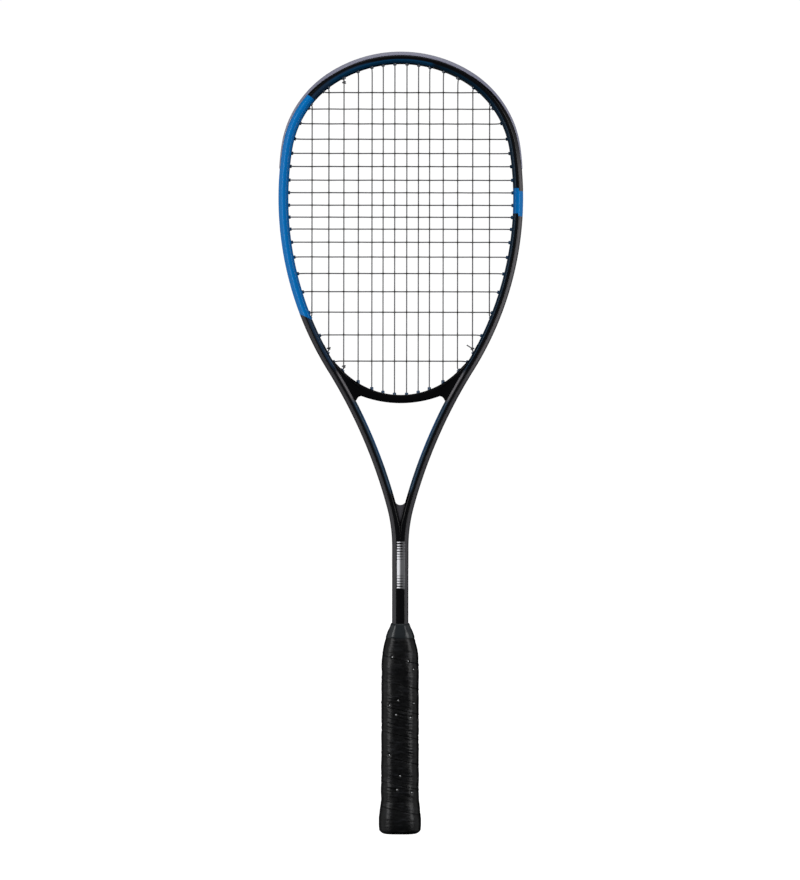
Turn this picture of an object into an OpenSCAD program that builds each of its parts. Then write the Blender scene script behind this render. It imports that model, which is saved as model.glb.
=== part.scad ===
// Squash racket. A hollow carbon frame is one hairpin tube: hoop, two throat arms and a
// shaft that runs down inside the handle. A foam-cored bridge closes the head. A moulded
// head guard and three grommet strips line the string holes, and two strings make the bed.
//
// The racket is drawn lying flat: X across the head, Y up from the butt, Z through the
// beam. upright() then stands it on the butt, with the face turned to -Y.

/* [Frame] */
// Length from the butt to the top of the head guard
racket_l = 686; // [680:1:690]
// Depth of the frame section, from face to face
beam = 18.5; // [18:0.5:20]
// Thickness of the tube in the plane of the strings
tube_t = 8.4; // [8.2:0.1:8.8]
// Wall of the tube
wall = 1.3; // [1.1:0.1:1.4]
// Width of the shaft
shaft_w = 14.4; // [13.6:0.2:15]

/* [Head outline] */
// Radius of the frame's outer face over the crown
crown_r = 115.3; // [114:0.1:117]
// Half angle of the crown arc
crown_angle = 32.5; // [30:0.5:34]
// Radius of the shoulders
shoulder_r = 93; // [90:0.5:96]
// Angle of each shoulder arc
shoulder_angle = 48.5; // [46:0.5:50]
// Radius of the long sides
side_r = 287; // [280:1:295]
// Greatest lean of the arms from the racket's axis
arm_lean = 31.9; // [31:0.1:33]
// Radius of the hollow curve of the arms
arm_r = 450; // [430:5:470]
// Angle of that curve
arm_angle = 16.6; // [15.5:0.1:17.5]

/* [Throat] */
// Radius of the head opening along the bridge
bridge_r = 71; // [69:0.5:72]
// Height of the bottom of the head opening
bridge_y = 384.8; // [383:0.2:386]
// Thickness of the bridge at its middle
bridge_t = 7.2; // [6.8:0.1:8]
// Radius of the underside of the bridge
bridge_low_r = 99; // [95:1:104]
// Depth of the bridge, from face to face
bridge_beam = 16; // [15:0.5:17]
// Height of the bottom of the throat opening
throat_y = 288; // [285:1:291]

/* [Stringing] */
// Diameter of the string
string_d = 1.1; // [1:0.05:1.25]
// Distance of each main string from the racket's axis
main_x = [5.3, 15.5, 25.3, 37.3, 50, 63.2, 78];
// Height of each cross string, from the crown down
cross_y = [650.5, 636, 623, 609.5, 597, 585.5, 573.5, 562.5, 551.5,
           541, 530.5, 519, 506, 491.5, 475.5, 457.5, 437.5, 414.5];
// How far a grommet stands out of the frame's inner face
grommet_out = 1.7; // [1:0.1:2.2]

/* [Handle] */
// Half width of the foam handle
foam_w = 14.6; // [14:0.1:15.2]
// Half depth of the foam handle
foam_d = 12.2; // [11.6:0.1:12.8]
// Height where the handle starts to taper into the shaft
taper_y = 150; // [145:1:155]
// Thickness of the grip
grip_t = 1.5; // [1.3:0.1:1.8]
// Rise of the grip in one turn around the handle
grip_pitch = 22; // [20:0.5:24]
// Height of the top edge of the grip
grip_top = 177; // [174:1:178]
// Height of the flared butt
flare_y = 30; // [28:1:34]

/* [Hidden] */

// Fragments of a long arc and of a small hole.
fine = 240;
round_fn = 32;

// Where two arcs meet, every second one is fuller by this much.
step = 0.05;

// Frame section, measured inward from its outer face.
guard_t = 1.4;
side_flat = 5.5;
outer_bevel = 3.1;
inner_bevel = 1.6;
inner_flat = 6.6;
groove_depth = 2.6;
groove_floor = 2.6;
groove_mouth = 3.3;
strip_t = 0.9;

// Grommets. Some of them are wider.
barrel_r = 1.5;
bore_r = 0.85;
wide_barrel_r = 2;
wide_bore_r = 1.4;
mouth_r = 1.35;
fit_gap = 0.05;

// The outline of the right half is a chain of arcs that starts at the crown. Each row is
// [radius, angle]; a negative radius bends the other way.
shaft_half = shaft_w / 2;
frame_top = racket_l - guard_t - step;
head_chain = [[crown_r, crown_angle], [shoulder_r, shoulder_angle],
              [side_r, 90 + arm_lean - crown_angle - shoulder_angle], [-arm_r, arm_angle]];

// [centre x, centre y, signed radius, first heading, last heading] of each arc. A heading
// turns clockwise from +X, and the outward normal at heading h is [sin(h), cos(h)].
function placed(chain, x = 0, y = frame_top, h = 0, i = 0) =
    i == len(chain) ? [] :
    let (r = chain[i][0],
         cx = x - r * sin(h),
         cy = y - r * cos(h),
         h1 = h + sign(r) * chain[i][1])
    concat([[cx, cy, r, h, h1]],
           placed(chain, cx + r * sin(h1), cy + r * cos(h1), h1, i + 1));

function end_x(arc) = arc[0] + arc[2] * sin(arc[4]);
function end_y(arc) = arc[1] + arc[2] * cos(arc[4]);

// The last arc brings the arm upright exactly on the side of the shaft.
upper_arcs = placed(head_chain);
arm_end = upper_arcs[3];
root_r = (end_x(arm_end) - shaft_half) / (1 - sin(arm_end[4]));
arcs = concat(upper_arcs,
              placed([[-root_r, arm_end[4] - 90]], end_x(arm_end), end_y(arm_end), arm_end[4]));
side_arc = arcs[2];
shaft_top = end_y(arcs[4]);

// A point of the hoop at heading h of one arc, d inside the outer face.
function on_arc(a, h, d) = [a[0] + (a[2] - d) * sin(h), a[1] + (a[2] - d) * cos(h)];
function covers(a, h) = h >= min(a[3], a[4]) && h <= max(a[3], a[4]);

// The arc and the heading where that line passes a given x, or a given height y.
function at_x(x, d, lower = false) =
    [for (a = arcs)
        let (s = (abs(x) - a[0]) / (a[2] - d), h = lower ? 180 - asin(s) : asin(s))
        if (abs(s) <= 1 && covers(a, h)) [a, h]][0];
function at_y(y, d) =
    [for (a = arcs) let (h = acos((y - a[1]) / (a[2] - d))) if (covers(a, h)) [a, h]][0];
function hoop_y(x, d, lower = false) = let (p = at_x(x, d, lower)) on_arc(p[0], p[1], d)[1];
function hoop_x(y, d) = let (p = at_y(y, d)) on_arc(p[0], p[1], d)[0];

// The head guard ends on the side arc, below the last cross that it holds.
guard_crosses = 6;
guard_end = acos((cross_y[guard_crosses - 1] - 2.6 - side_arc[1]) / side_r);
strip_start = guard_end + 0.1;
groove_end = 116;

// The bridge hangs from two circles centred on the axis.
bridge_cy = bridge_y + bridge_r;
bridge_low_cy = bridge_y - bridge_t + bridge_low_r;
bridge_half_angle = 52;
bridge_bevel = 2;
bridge_groove = 2.2;
bridge_reach = 39;
function bridge_top_y(x) = bridge_cy - sqrt(bridge_r * bridge_r - x * x);
function bridge_low_y(x, d) = bridge_low_cy - sqrt(pow(bridge_low_r - d, 2) - x * x);

// Mains 1 to 4 on each side run through the bridge. The fifth enters at the end of the
// bridge and leaves through the arm, and the others run through the hoop.
bridge_mains = 4;
last_bridge_x = main_x[bridge_mains - 1];
end_hole_y = 397;

string_gap = 0.05;
string_depth = groove_depth - strip_t - string_d / 2 - string_gap;
bridge_string_depth = bridge_groove - strip_t - string_d / 2 - string_gap;
function main_top(x) = hoop_y(x, string_depth);
function main_bottom(x) =
    abs(x) > last_bridge_x + 3 ? hoop_y(x, string_depth, true)
                               : bridge_low_y(x, bridge_string_depth);

// A string hole is [where the string turns, tip of the grommet, outer end]. A hole through
// the hoop points halfway between the string's own way and square to the wall.
turn_room = 1;
function unit(v) = v / norm(v);
function hoop_hole(p, way, out = grommet_out) =
    let (a = p[0],
         turn = on_arc(a, p[1], tube_t) - (out + turn_room) * way,
         u = unit([sin(p[1]), cos(p[1])] + way),
         w = turn - [a[0], a[1]],
         run = sign(a[2]) * sqrt(pow(w * u, 2) - w * w + a[2] * a[2]) - w * u)
    [turn, turn + turn_room * u, turn + run * u];
function bridge_hole(x) =
    let (tip = bridge_top_y(x) + grommet_out + barrel_r * x / bridge_r)
    [[x, tip + turn_room], [x, tip], [x, bridge_low_y(x, 0)]];
function end_hole(x) =
    let (p = at_y(end_hole_y, 0),
         out = on_arc(p[0], p[1], 0),
         turn = [x, bridge_top_y(x) + grommet_out + turn_room])
    [turn, turn + turn_room * unit(out - turn), out];

last_main_x = main_x[len(main_x) - 1];
function top_hole(i) = hoop_hole(at_x(main_x[i], tube_t), [0, 1]);
function low_hole(i) =
    i < bridge_mains ? bridge_hole(main_x[i]) :
    i == bridge_mains ? end_hole(main_x[i]) :
    hoop_hole(at_x(main_x[i], tube_t, true), [0, -1]);

// A cross grommet that faces the outermost main ends short of it.
function side_hole(i) =
    let (p = at_y(cross_y[i], tube_t),
         room = on_arc(p[0], p[1], tube_t)[0] - last_main_x - barrel_r / 2 - 0.4)
    hoop_hole(p, [1, 0], room > 0 ? min(grommet_out, room) : grommet_out);

// Where the string runs in the groove outside a hole.
function groove_point(hole, depth) = hole[2] + depth * unit(hole[1] - hole[2]);

module upright() {
    rotate([90, 0, 0]) children();
}

module both_sides() {
    children();
    mirror([1, 0, 0]) children();
}

// ---- Frame ----

// Sweeps a section along one arc, between two headings. Section X is outward from the
// frame's outer face and section Y is through the beam.
module sweep_arc(arc, from, to) {
    r = arc[2];
    turn = abs(to - from);
    translate([arc[0], arc[1], 0])
        if (r > 0)
            rotate([0, 0, 90 - to])
                rotate_extrude(angle = turn, $fn = fine) translate([r, 0]) children();
        else
            rotate([0, 0, 270 - from])
                rotate_extrude(angle = turn, $fn = fine)
                    translate([-r, 0]) mirror([1, 0]) children();
}

// Where two arcs meet, every second one is a hair fuller, and its neighbour runs on into
// it, so that their faces never lie in each other.
run_on = 0.5;
function is_full(i) = i % 2 == 0;
function extra(i) = is_full(i) ? step : 0;
function lap_angle(i) = is_full(i) ? 0 : asin(run_on / abs(arcs[i][2]));

// Sweeps a section along arc i between two headings, which the arc's own ends limit.
module sweep_part(i, from, to) {
    a = arcs[i];
    way = sign(a[2]);
    lo = way > 0 ? max(from, a[3]) : min(from, a[3]);
    hi = way > 0 ? min(to, a[4]) : max(to, a[4]);
    lap = way * lap_angle(i);
    sweep_arc(a, lo == a[3] ? lo - lap : lo, hi == a[4] ? hi + lap : hi) children();
}

module crown_arc() {
    sweep_arc(arcs[0], -crown_angle, crown_angle) children();
}

module tube_section(g) {
    half = beam / 2 + g;
    back = tube_t + g;
    polygon([[g, side_flat], [-outer_bevel, half], [inner_bevel - tube_t, half],
             [-back, inner_flat], [-back, -inner_flat], [inner_bevel - tube_t, -half],
             [-outer_bevel, -half], [g, -side_flat]]);
}

// The hollow of the tube, which steps back behind the groove.
module cavity_section(g) {
    half = beam / 2 - wall + g;
    floor_x = g - groove_depth - wall;
    mouth = groove_mouth + wall - g;
    skin = wall - g;
    polygon([[-skin, mouth], [-outer_bevel, half], [inner_bevel - tube_t, half],
             [skin - tube_t, inner_flat], [skin - tube_t, -inner_flat],
             [inner_bevel - tube_t, -half], [-outer_bevel, -half], [-skin, -mouth],
             [floor_x, -mouth], [floor_x, mouth]]);
}

groove_slope = (groove_mouth - groove_floor) / groove_depth;

module groove_section(g) {
    out = 1;
    mouth = groove_mouth + groove_slope * out + g;
    polygon([[-groove_depth - g, groove_floor + g], [out, mouth],
             [out, -mouth], [-groove_depth - g, -groove_floor - g]]);
}

module shaft_section() {
    half = beam / 2;
    flat = shaft_half - outer_bevel;
    polygon([[shaft_half, side_flat], [flat, half], [-flat, half], [-shaft_half, side_flat],
             [-shaft_half, -side_flat], [-flat, -half], [flat, -half],
             [shaft_half, -side_flat]]);
}

// Extrudes a section along Y, from one height to another.
module along_y(from, to) {
    translate([0, from, 0]) rotate([-90, 0, 0]) linear_extrude(to - from) children();
}

root_half = 3.4;
crotch_full = throat_y - 11;

// A block between the arms, set back from both faces.
module crotch_block(from, to, back) {
    translate([-root_half, from, back - beam / 2])
        cube([2 * root_half, to - from, beam - 2 * back]);
}

module hairpin() {
    crown_arc() tube_section(extra(0));
    both_sides()
        for (i = [1 : 4]) sweep_part(i, arcs[i][3], arcs[i][4]) tube_section(extra(i));
    along_y(shaft_foot, shaft_top + run_on) shaft_section();
    crotch_block(shaft_top - 1, crotch_full, 0.4);
    crotch_block(crotch_full - 1, throat_y, 2.4);
}

// The two hollow tubes, side by side in the shaft with a web between them.
web = 1.6;

module hollows() {
    back = beam / 2 - wall;
    side = shaft_half - outer_bevel;
    crown_arc() cavity_section(extra(0));
    both_sides() {
        difference() {
            for (i = [1 : 4]) sweep_part(i, arcs[i][3], arcs[i][4]) cavity_section(extra(i));
            translate([-shaft_w, shaft_top - 1, -beam])
                cube([shaft_w + web / 2, throat_y - shaft_top + 1, 2 * beam]);
        }
        along_y(shaft_foot - 1, shaft_top + run_on)
            polygon([[web / 2, back], [side, back], [shaft_half - wall, side_flat],
                     [shaft_half - wall, -side_flat], [side, -back], [web / 2, -back]]);
    }
}

module groove() {
    crown_arc() groove_section(extra(0));
    both_sides() {
        for (i = [1 : 2]) sweep_part(i, arcs[i][3], arcs[i][4]) groove_section(extra(i));
        sweep_part(3, arcs[3][3], groove_end) groove_section(extra(3));
    }
}

// A round bar along a string hole, from past its outer end to a distance from its tip.
past = 4;
module bar(hole, r, beyond_tip = 0) {
    run = hole[1] - hole[2];
    translate([hole[2][0], hole[2][1], 0]) rotate([0, 0, atan2(run[1], run[0])])
        translate([-past, 0, 0]) rotate([0, 90, 0])
            cylinder(h = norm(run) + past + beyond_tip, r = r, $fn = round_fn);
}

// The widened outer end of a hole, as deep as the groove.
module mouth(hole, depth) {
    run = hole[1] - hole[2];
    translate([hole[2][0], hole[2][1], 0]) rotate([0, 0, atan2(run[1], run[0])])
        translate([-past - 1, 0, 0]) rotate([0, 90, 0])
            cylinder(h = past + 1 + depth, r = mouth_r, $fn = round_fn);
}

// Grommets that take two strings, or one that comes in off their middle, are wider. They
// are at the fifth and sixth mains' ends and where a cross meets the outermost main.
function wide_top(i) = i == 4;
function wide_low(i) = i == 4 || i == 5;
function wide_side(i) = abs(side_hole(i)[0][0] - last_main_x) < 2;

module top_bars(r, wide_r, more = 0) {
    for (i = [0 : len(main_x) - 1]) bar(top_hole(i), wide_top(i) ? wide_r : r, more);
}

module low_bars(r, wide_r, more = 0) {
    for (i = [bridge_mains : len(main_x) - 1]) bar(low_hole(i), wide_low(i) ? wide_r : r, more);
}

module side_bars(first, last, r, wide_r, more = 0) {
    for (i = [first : last]) bar(side_hole(i), wide_side(i) ? wide_r : r, more);
}

module bridge_bars(r, more = 0) {
    for (i = [0 : bridge_mains - 1]) bar(low_hole(i), r, more);
}

module frame() {
    r = barrel_r + fit_gap;
    wide_r = wide_barrel_r + fit_gap;
    color("#1b1d20") upright() difference() {
        hairpin();
        hollows();
        groove();
        both_sides() {
            top_bars(r, wide_r);
            low_bars(r, wide_r);
            side_bars(0, len(cross_y) - 1, r, wide_r);
        }
    }
}

// ---- Throat bridge ----

// A flat sector of a ring about the axis, open to the top, with bevelled inner edges.
module ring_sector(cy, inner, outer, half_depth, bevel) {
    edge = half_depth - bevel;
    translate([0, cy, 0]) rotate([0, 0, 270 - bridge_half_angle])
        rotate_extrude(angle = 2 * bridge_half_angle, $fn = fine)
            polygon([[inner, -edge], [inner + bevel, -half_depth], [outer, -half_depth],
                     [outer, half_depth], [inner + bevel, half_depth], [inner, edge]]);
}

// Everything that the arms and the hoop hold, so that the bridge meets them face to face.
module arm_blanks() {
    beyond = 30;
    both_sides()
        for (i = [2, 3])
            sweep_part(i, arcs[i][3], arcs[i][4])
                translate([-tube_t - extra(i), -beam])
                    square([tube_t + beyond + 2 * extra(i), 2 * beam + extra(i)]);
}

module bridge_blank(skin) {
    half = bridge_beam / 2 - skin;
    blank_t = 40;
    intersection() {
        ring_sector(bridge_cy, bridge_r + skin, bridge_r + blank_t, half, bridge_bevel);
        translate([0, bridge_low_cy, -half])
            cylinder(h = 2 * half, r = bridge_low_r - skin, $fn = fine);
    }
}

module bridge_groove_cut(skin) {
    half_angle = 30;
    translate([0, bridge_low_cy, 0]) rotate([0, 0, 270 - half_angle])
        rotate_extrude(angle = 2 * half_angle, $fn = fine)
            polygon([[bridge_low_r - bridge_groove - skin, -groove_floor - skin],
                     [bridge_low_r + 2, -groove_mouth - skin],
                     [bridge_low_r + 2, groove_mouth + skin],
                     [bridge_low_r - bridge_groove - skin, groove_floor + skin]]);
}

module throat_bridge() {
    color("#17181b") upright() difference() {
        bridge_blank(0);
        arm_blanks();
        bridge_groove_cut(0);
        core_blank();
        both_sides() {
            bridge_bars(barrel_r + fit_gap);
            low_bars(barrel_r + fit_gap, wide_barrel_r + fit_gap);
        }
    }
}

// The foam fills the bridge on both sides of the groove, up to where the arms close in.
module core_blank() {
    core_reach = 30;
    difference() {
        intersection() {
            bridge_blank(wall);
            translate([-core_reach, bridge_y - core_reach, -beam])
                cube([2 * core_reach, 2 * core_reach, 2 * beam]);
        }
        bridge_groove_cut(wall);
    }
}

module bridge_core() {
    color("#d8cfa8") upright() difference() {
        core_blank();
        both_sides() bridge_bars(barrel_r + fit_gap);
    }
}

// ---- Head guard and grommet strips ----

// The guard lines the groove and laps over the outer bevel down to a thin edge, with a
// channel down its middle for the string.
guard_skin = 0.35;

module guard_section(lip, lap, g) {
    slope = outer_bevel / (beam / 2 - side_flat);
    edge_x = g - slope * (lap - side_flat);
    crest = side_flat - 0.2;
    polygon([[-groove_depth - g, -groove_floor], [g, -groove_mouth], [g, -side_flat],
             [edge_x, -lap], [edge_x + guard_skin, -lap - guard_skin],
             [lip + g, -crest], [lip + g, crest],
             [edge_x + guard_skin, lap + guard_skin], [edge_x, lap],
             [g, side_flat], [g, groove_mouth], [-groove_depth - g, groove_floor]]);
}

module strip_section(g) {
    outer = groove_floor + groove_slope * strip_t + g;
    back = groove_depth + g;
    polygon([[-back, -groove_floor - g], [strip_t - back, -outer],
             [strip_t - back, outer], [-back, groove_floor + g]]);
}

// What stays open outside the strips: everything above the floor of the channel.
channel_floor = 1.7;
channel_mouth = 2.9;

module channel_section(g) {
    floor_x = strip_t - groove_depth - g;
    mouth = channel_mouth + g;
    far = 10 + g;
    polygon([[floor_x, -channel_floor], [guard_t, -mouth], [far, -mouth], [far, mouth],
             [guard_t, mouth], [floor_x, channel_floor]]);
}

// The guard is thinner along its straighter ends than over the crown and shoulders, and
// laps less over the bevel.
guard_lap = 8;
guard_end_t = 0.7;
guard_end_lap = 6.6;

module head_guard() {
    color("#74768a") upright() difference() {
        union() {
            crown_arc() guard_section(guard_t, guard_lap, extra(0));
            both_sides() {
                sweep_part(1, arcs[1][3], arcs[1][4])
                    guard_section(guard_t, guard_lap, extra(1));
                sweep_part(2, arcs[2][3], guard_end)
                    guard_section(guard_end_t, guard_end_lap, extra(2));
                top_bars(barrel_r, wide_barrel_r);
                side_bars(0, guard_crosses - 1, barrel_r, wide_barrel_r);
            }
        }
        crown_arc() channel_section(extra(0));
        both_sides() {
            for (i = [1, 2])
                sweep_part(i, arcs[i][3], arcs[i][4]) channel_section(extra(i));
            top_bores();
            side_bores(0, guard_crosses - 1);
        }
    }
}

// Each bore widens to a mouth where the string turns into the groove.
module top_bores() {
    top_bars(bore_r, wide_bore_r, 1);
    for (i = [0 : len(main_x) - 1]) mouth(top_hole(i), groove_depth);
}

module low_bores() {
    low_bars(bore_r, wide_bore_r, 1);
    for (i = [bridge_mains : len(main_x) - 1]) mouth(low_hole(i), groove_depth);
}

module side_bores(first, last) {
    side_bars(first, last, bore_r, wide_bore_r, 1);
    for (i = [first : last]) mouth(side_hole(i), groove_depth);
}

module bridge_bores() {
    bridge_bars(bore_r, 1);
    for (i = [0 : bridge_mains - 1]) mouth(low_hole(i), bridge_groove);
}

module grommet_strip() {
    last = len(cross_y) - 1;
    difference() {
        union() {
            sweep_part(2, strip_start, side_arc[4]) strip_section(extra(2));
            sweep_part(3, arcs[3][3], groove_end + fit_gap) strip_section(extra(3));
            difference() {
                union() {
                    low_bars(barrel_r, wide_barrel_r);
                    side_bars(guard_crosses, last, barrel_r, wide_barrel_r);
                }
                strip_outside();
            }
        }
        low_bores();
        side_bores(guard_crosses, last);
    }
}

// Everything outside the middle of the strip's thickness.
module strip_outside() {
    beyond = 14;
    for (i = [2, 3])
        sweep_part(i, arcs[i][3], arcs[i][4])
            translate([strip_t / 2 - groove_depth - extra(i), -beam - extra(i)])
                square([beyond + extra(i), 2 * (beam + extra(i))]);
}

module grommet_strip_right() {
    color("#152534") upright() grommet_strip();
}

module grommet_strip_left() {
    color("#152534") upright() mirror([1, 0, 0]) grommet_strip();
}

module throat_grommet_strip() {
    floor_r = bridge_low_r - bridge_groove;
    half_angle = asin(bridge_reach / floor_r);
    slope = (groove_mouth - groove_floor) / (bridge_groove + 2);
    outer = groove_floor + slope * strip_t;
    color("#152534") upright() difference() {
        union() {
            translate([0, bridge_low_cy, 0]) rotate([0, 0, 270 - half_angle])
                rotate_extrude(angle = 2 * half_angle, $fn = fine)
                    polygon([[floor_r, -groove_floor], [floor_r + strip_t, -outer],
                             [floor_r + strip_t, outer], [floor_r, groove_floor]]);
            intersection() {
                both_sides() bridge_bars(barrel_r);
                translate([0, bridge_low_cy, -beam])
                    cylinder(h = 2 * beam, r = floor_r + strip_t, $fn = fine);
            }
        }
        both_sides() bridge_bores();
    }
}

// ---- Strings ----

// Two strings that share a hole lie beside its middle. One that passes a hole in the groove
// keeps a whole lane away from the string in that hole.
beside = string_d / 2 + string_gap;
lane = 2 * beside;
weave = string_d + 0.04;

// A string is tied off with a few turns around a main, and its tail stands out.
knot_r = 2 * beside + 0.05;
knot_pitch = string_d + 0.15;
knot_turns = 1.25;
knot_room = knot_turns * knot_pitch + 1.5;
knot_start = 0.9;
left_tail = [0.9, 0.7];
right_tail = [-3.8, 2.4];
head_tail = [0.9, -0.7];
foot_tail = [0.9, 0.5];

// Half the length of a cross's flat crest over a main, and how far a main that gives way
// to a cross takes to come back.
crest = 0.9;
ease = 4;

// Rounds each sharp corner of a path with two points on its sides and one between them.
bend = 1.3;
function rounded(p) = [
    for (i = [0 : len(p) - 1])
        let (inner = i > 0 && i < len(p) - 1,
             a = inner ? unit(p[i - 1] - p[i]) : [1, 0, 0],
             b = inner ? unit(p[i + 1] - p[i]) : [-1, 0, 0])
        each !inner || a * b < -0.9 ? [p[i]] :
            [p[i] + bend * a, p[i] + bend * (a + b) / 4, p[i] + bend * b]
];

function tangents(p) = [for (i = [0 : len(p) - 1])
    unit(p[min(i + 1, len(p) - 1)] - p[max(i - 1, 0)])];

// One direction across the path at each point, carried along without twisting.
function carried(t) = [
    for (i = 0, u = unit(cross(t[0], [0, 0, 1]));
         i < len(t);
         i = i + 1, u = i < len(t) ? unit(u - t[i] * (u * t[i])) : u) u
];

module strand(path, sides) {
    n = len(path);
    t = tangents(path);
    u = carried(t);
    points = [for (k = [0 : n - 1], j = [0 : sides - 1])
        let (a = 360 * j / sides)
        path[k] + string_d / 2 * (cos(a) * u[k] + sin(a) * cross(t[k], u[k]))];
    walls = [for (k = [0 : n - 2], j = [0 : sides - 1])
        [k * sides + j, (k + 1) * sides + j, (k + 1) * sides + (j + 1) % sides,
         k * sides + (j + 1) % sides]];
    caps = [[for (j = [0 : sides - 1]) j], [for (j = [1 : sides]) n * sides - j]];
    polyhedron(points, concat(walls, caps), convexity = 10);
}

// The end of a string comes through a hole on one side (s) of the head beside a main, goes
// round that main and stands out. up is the way into the head, and z the side in the hole.
function tie_off(hole, s, up, z, tail) =
    let (x = s * hole[0][0], y = hole[0][1] + knot_start * up, way = sign(tail[0]))
    concat([[s * hole[1][0], hole[1][1], z * beside], [x, hole[0][1], z * beside]],
           [for (t = [0.125 : 0.125 : knot_turns])
               [x + way * knot_r * sin(360 * t), y + up * knot_pitch * t,
                z * (knot_r * cos(360 * t) - beside)]],
           [[x + way * knot_r + tail[0], y + up * knot_turns * knot_pitch + tail[1],
             -z * beside]]);

function reversed(p) = [for (i = [len(p) - 1 : -1 : 0]) p[i]];

// Mains, from the left end to the right. The first one runs up, the next one down.
mains = concat([for (i = [len(main_x) - 1 : -1 : 0]) -main_x[i]], main_x);
last_main = len(mains) - 1;
last_cross = len(cross_y) - 1;

function main_side(k) = sign(mains[k]);
function main_index(k) =
    k <= last_main / 2 ? (last_main - 1) / 2 - k : k - (last_main + 1) / 2;
function main_hole(k, top) = top ? top_hole(main_index(k)) : low_hole(main_index(k));

// A main that a tail is tied to moves aside in that hole.
function aside(k, top) =
    k == 2 ? beside : !top && (k == 1 || k == last_main - 1) ? -beside : 0;

// Where a main lies in the groove at one of its ends, and a point of it that is some way
// inside from where it turns into its hole.
function main_end(k, top) =
    let (in_bridge = !top && abs(mains[k]) <= last_bridge_x,
         p = groove_point(main_hole(k, top), in_bridge ? bridge_string_depth : string_depth))
    [main_side(k) * p[0], p[1], aside(k, top)];
function main_turn(k, top, inside, z) =
    [mains[k], main_hole(k, top)[0][1] + (top ? -inside : inside), z];

// Halfway along the groove between two points.
function along_main(a, b, top) =
    let (p = (a + b) / 2) [p[0], top ? main_top(p[0]) : main_bottom(p[0]), p[2]];
function along_side(a, b) =
    let (p = (a + b) / 2) [sign(p[0]) * hoop_x(p[1], string_depth), p[1], p[2]];

// A point of the groove outside a hole that another string passes in its own lane.
function passing(hole, side, z) =
    let (p = groove_point(hole, string_depth)) [side * p[0], p[1], z];

// The loop from one main to the next passes the first cross or the last one on its way.
function main_loop(k, top) =
    let (a = main_end(k, top), b = main_end(k + 1, top), side = main_side(k),
         outer = max(main_index(k), main_index(k + 1)),
         c = passing(side_hole(top ? 0 : last_cross), side, lane))
    outer == (top ? 6 : 5) ? [along_main(a, c, top), c, along_main(c, b, top)]
                           : [along_main(a, b, top)];

// From the foot of the outermost main along the groove to its neighbour's hole.
function main_tail(side) =
    let (a = main_end(side > 0 ? last_main : 0, false),
         c = passing(side_hole(last_cross - 1), side, lane),
         b = passing(low_hole(5), side, beside))
    concat([along_side(a, c), c, along_side(c, b), b],
           tie_off(low_hole(5), side, 1, 1, side > 0 ? right_tail : left_tail));

// Where a cross meets the outermost main right beside the hoop, both give way by half.
function meets(i, k) = abs(mains[k]) == last_main_x && wide_side(i);
function yields(k) = [
    for (i = [last_cross : -1 : 0])
        if (meets(i, k))
            for (s = i > last_cross / 2 ? [-crest, crest, ease] : [-ease, -crest, crest])
                [mains[k], cross_y[i] + s, abs(s) > crest ? 0 : -over(i, k) * weave / 2]
];

function main_up(k) =
    let (low = aside(k, false), top = aside(k, true))
    concat([main_end(k, false), main_turn(k, false, 0, low)],
           low == 0 ? [] : [main_turn(k, false, knot_room, low),
                            main_turn(k, false, knot_room + 2, 0)],
           yields(k),
           top == 0 ? [] : [main_turn(k, true, knot_room + 2, 0),
                            main_turn(k, true, knot_room, top)],
           [main_turn(k, true, 0, top), main_end(k, true)]);

main_path = concat(
    reversed(main_tail(-1)),
    [for (k = [0 : last_main])
        each concat(k % 2 == 0 ? main_up(k) : reversed(main_up(k)),
                    k < last_main ? main_loop(k, k % 2 == 0) : [])],
    main_tail(1));

module main_string() {
    color("#23262b") upright() strand(rounded(main_path), 8);
}

// Crosses, from the crown down. The first one runs to the right, the next one back, each
// over one main and under the next.
function over(i, k) = (i + k) % 2 == 0 ? 1 : -1;
function cross_points(i) = [
    for (k = [0 : last_main], s = [-crest, crest])
        if (abs(mains[k]) + crest < side_hole(i)[0][0])
            [mains[k] + s, cross_y[i], weave * over(i, k)]
];

// Where a cross turns into its hole, with a point before it where it meets a main there.
function cross_end(i, side) = passing(side_hole(i), side, 0);
function cross_turn(i, side) =
    let (p = side_hole(i)[0], k = side > 0 ? last_main : 0, z = over(i, k) * weave / 2)
    meets(i, k) ? [[mains[k] - side * crest, cross_y[i], z], [side * p[0], p[1], z]]
                : [[side * p[0], p[1], 0]];

function cross_run(i) = concat(
    [cross_end(i, -1)], reversed(cross_turn(i, -1)), cross_points(i), cross_turn(i, 1),
    [cross_end(i, 1)]);

// The loop from one cross to the next passes a main's hole at three places.
function passed_hole(i) =
    i == 0 ? [top_hole(6), lane] :
    i == last_cross - 2 ? [low_hole(6), lane] :
    i == last_cross - 1 ? [low_hole(5), lane + beside] : undef;
function cross_loop(i, side) =
    let (a = cross_end(i, side), b = cross_end(i + 1, side), hole = passed_hole(i))
    is_undef(hole) ? [along_side(a, b)]
                   : let (c = passing(hole[0], side, -hole[1]))
                     [along_side(a, c), c, along_side(c, b)];

// The first cross starts at the fifth main's top hole on the left, and passes the sixth
// main's. The last one ends at the fifth main's lower hole, on the left again.
cross_head =
    let (b = passing(top_hole(4), -1, -beside),
         c = passing(top_hole(5), -1, -lane))
    concat(reversed(tie_off(top_hole(4), -1, -1, -1, head_tail)),
           [b, along_main(b, c, true), c, along_side(c, cross_end(0, -1))]);

cross_foot =
    let (b = passing(low_hole(4), -1, -beside))
    concat([along_side(cross_end(last_cross, -1), b), b],
           tie_off(low_hole(4), -1, 1, -1, foot_tail));

cross_path = concat(
    cross_head,
    [for (i = [0 : last_cross])
        each concat(i % 2 == 0 ? cross_run(i) : reversed(cross_run(i)),
                    i < last_cross ? cross_loop(i, i % 2 == 0 ? 1 : -1) : [])],
    cross_foot);

module cross_string() {
    color("#2b2e33") upright() strand(rounded(cross_path), 6);
}

// ---- Handle ----

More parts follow.
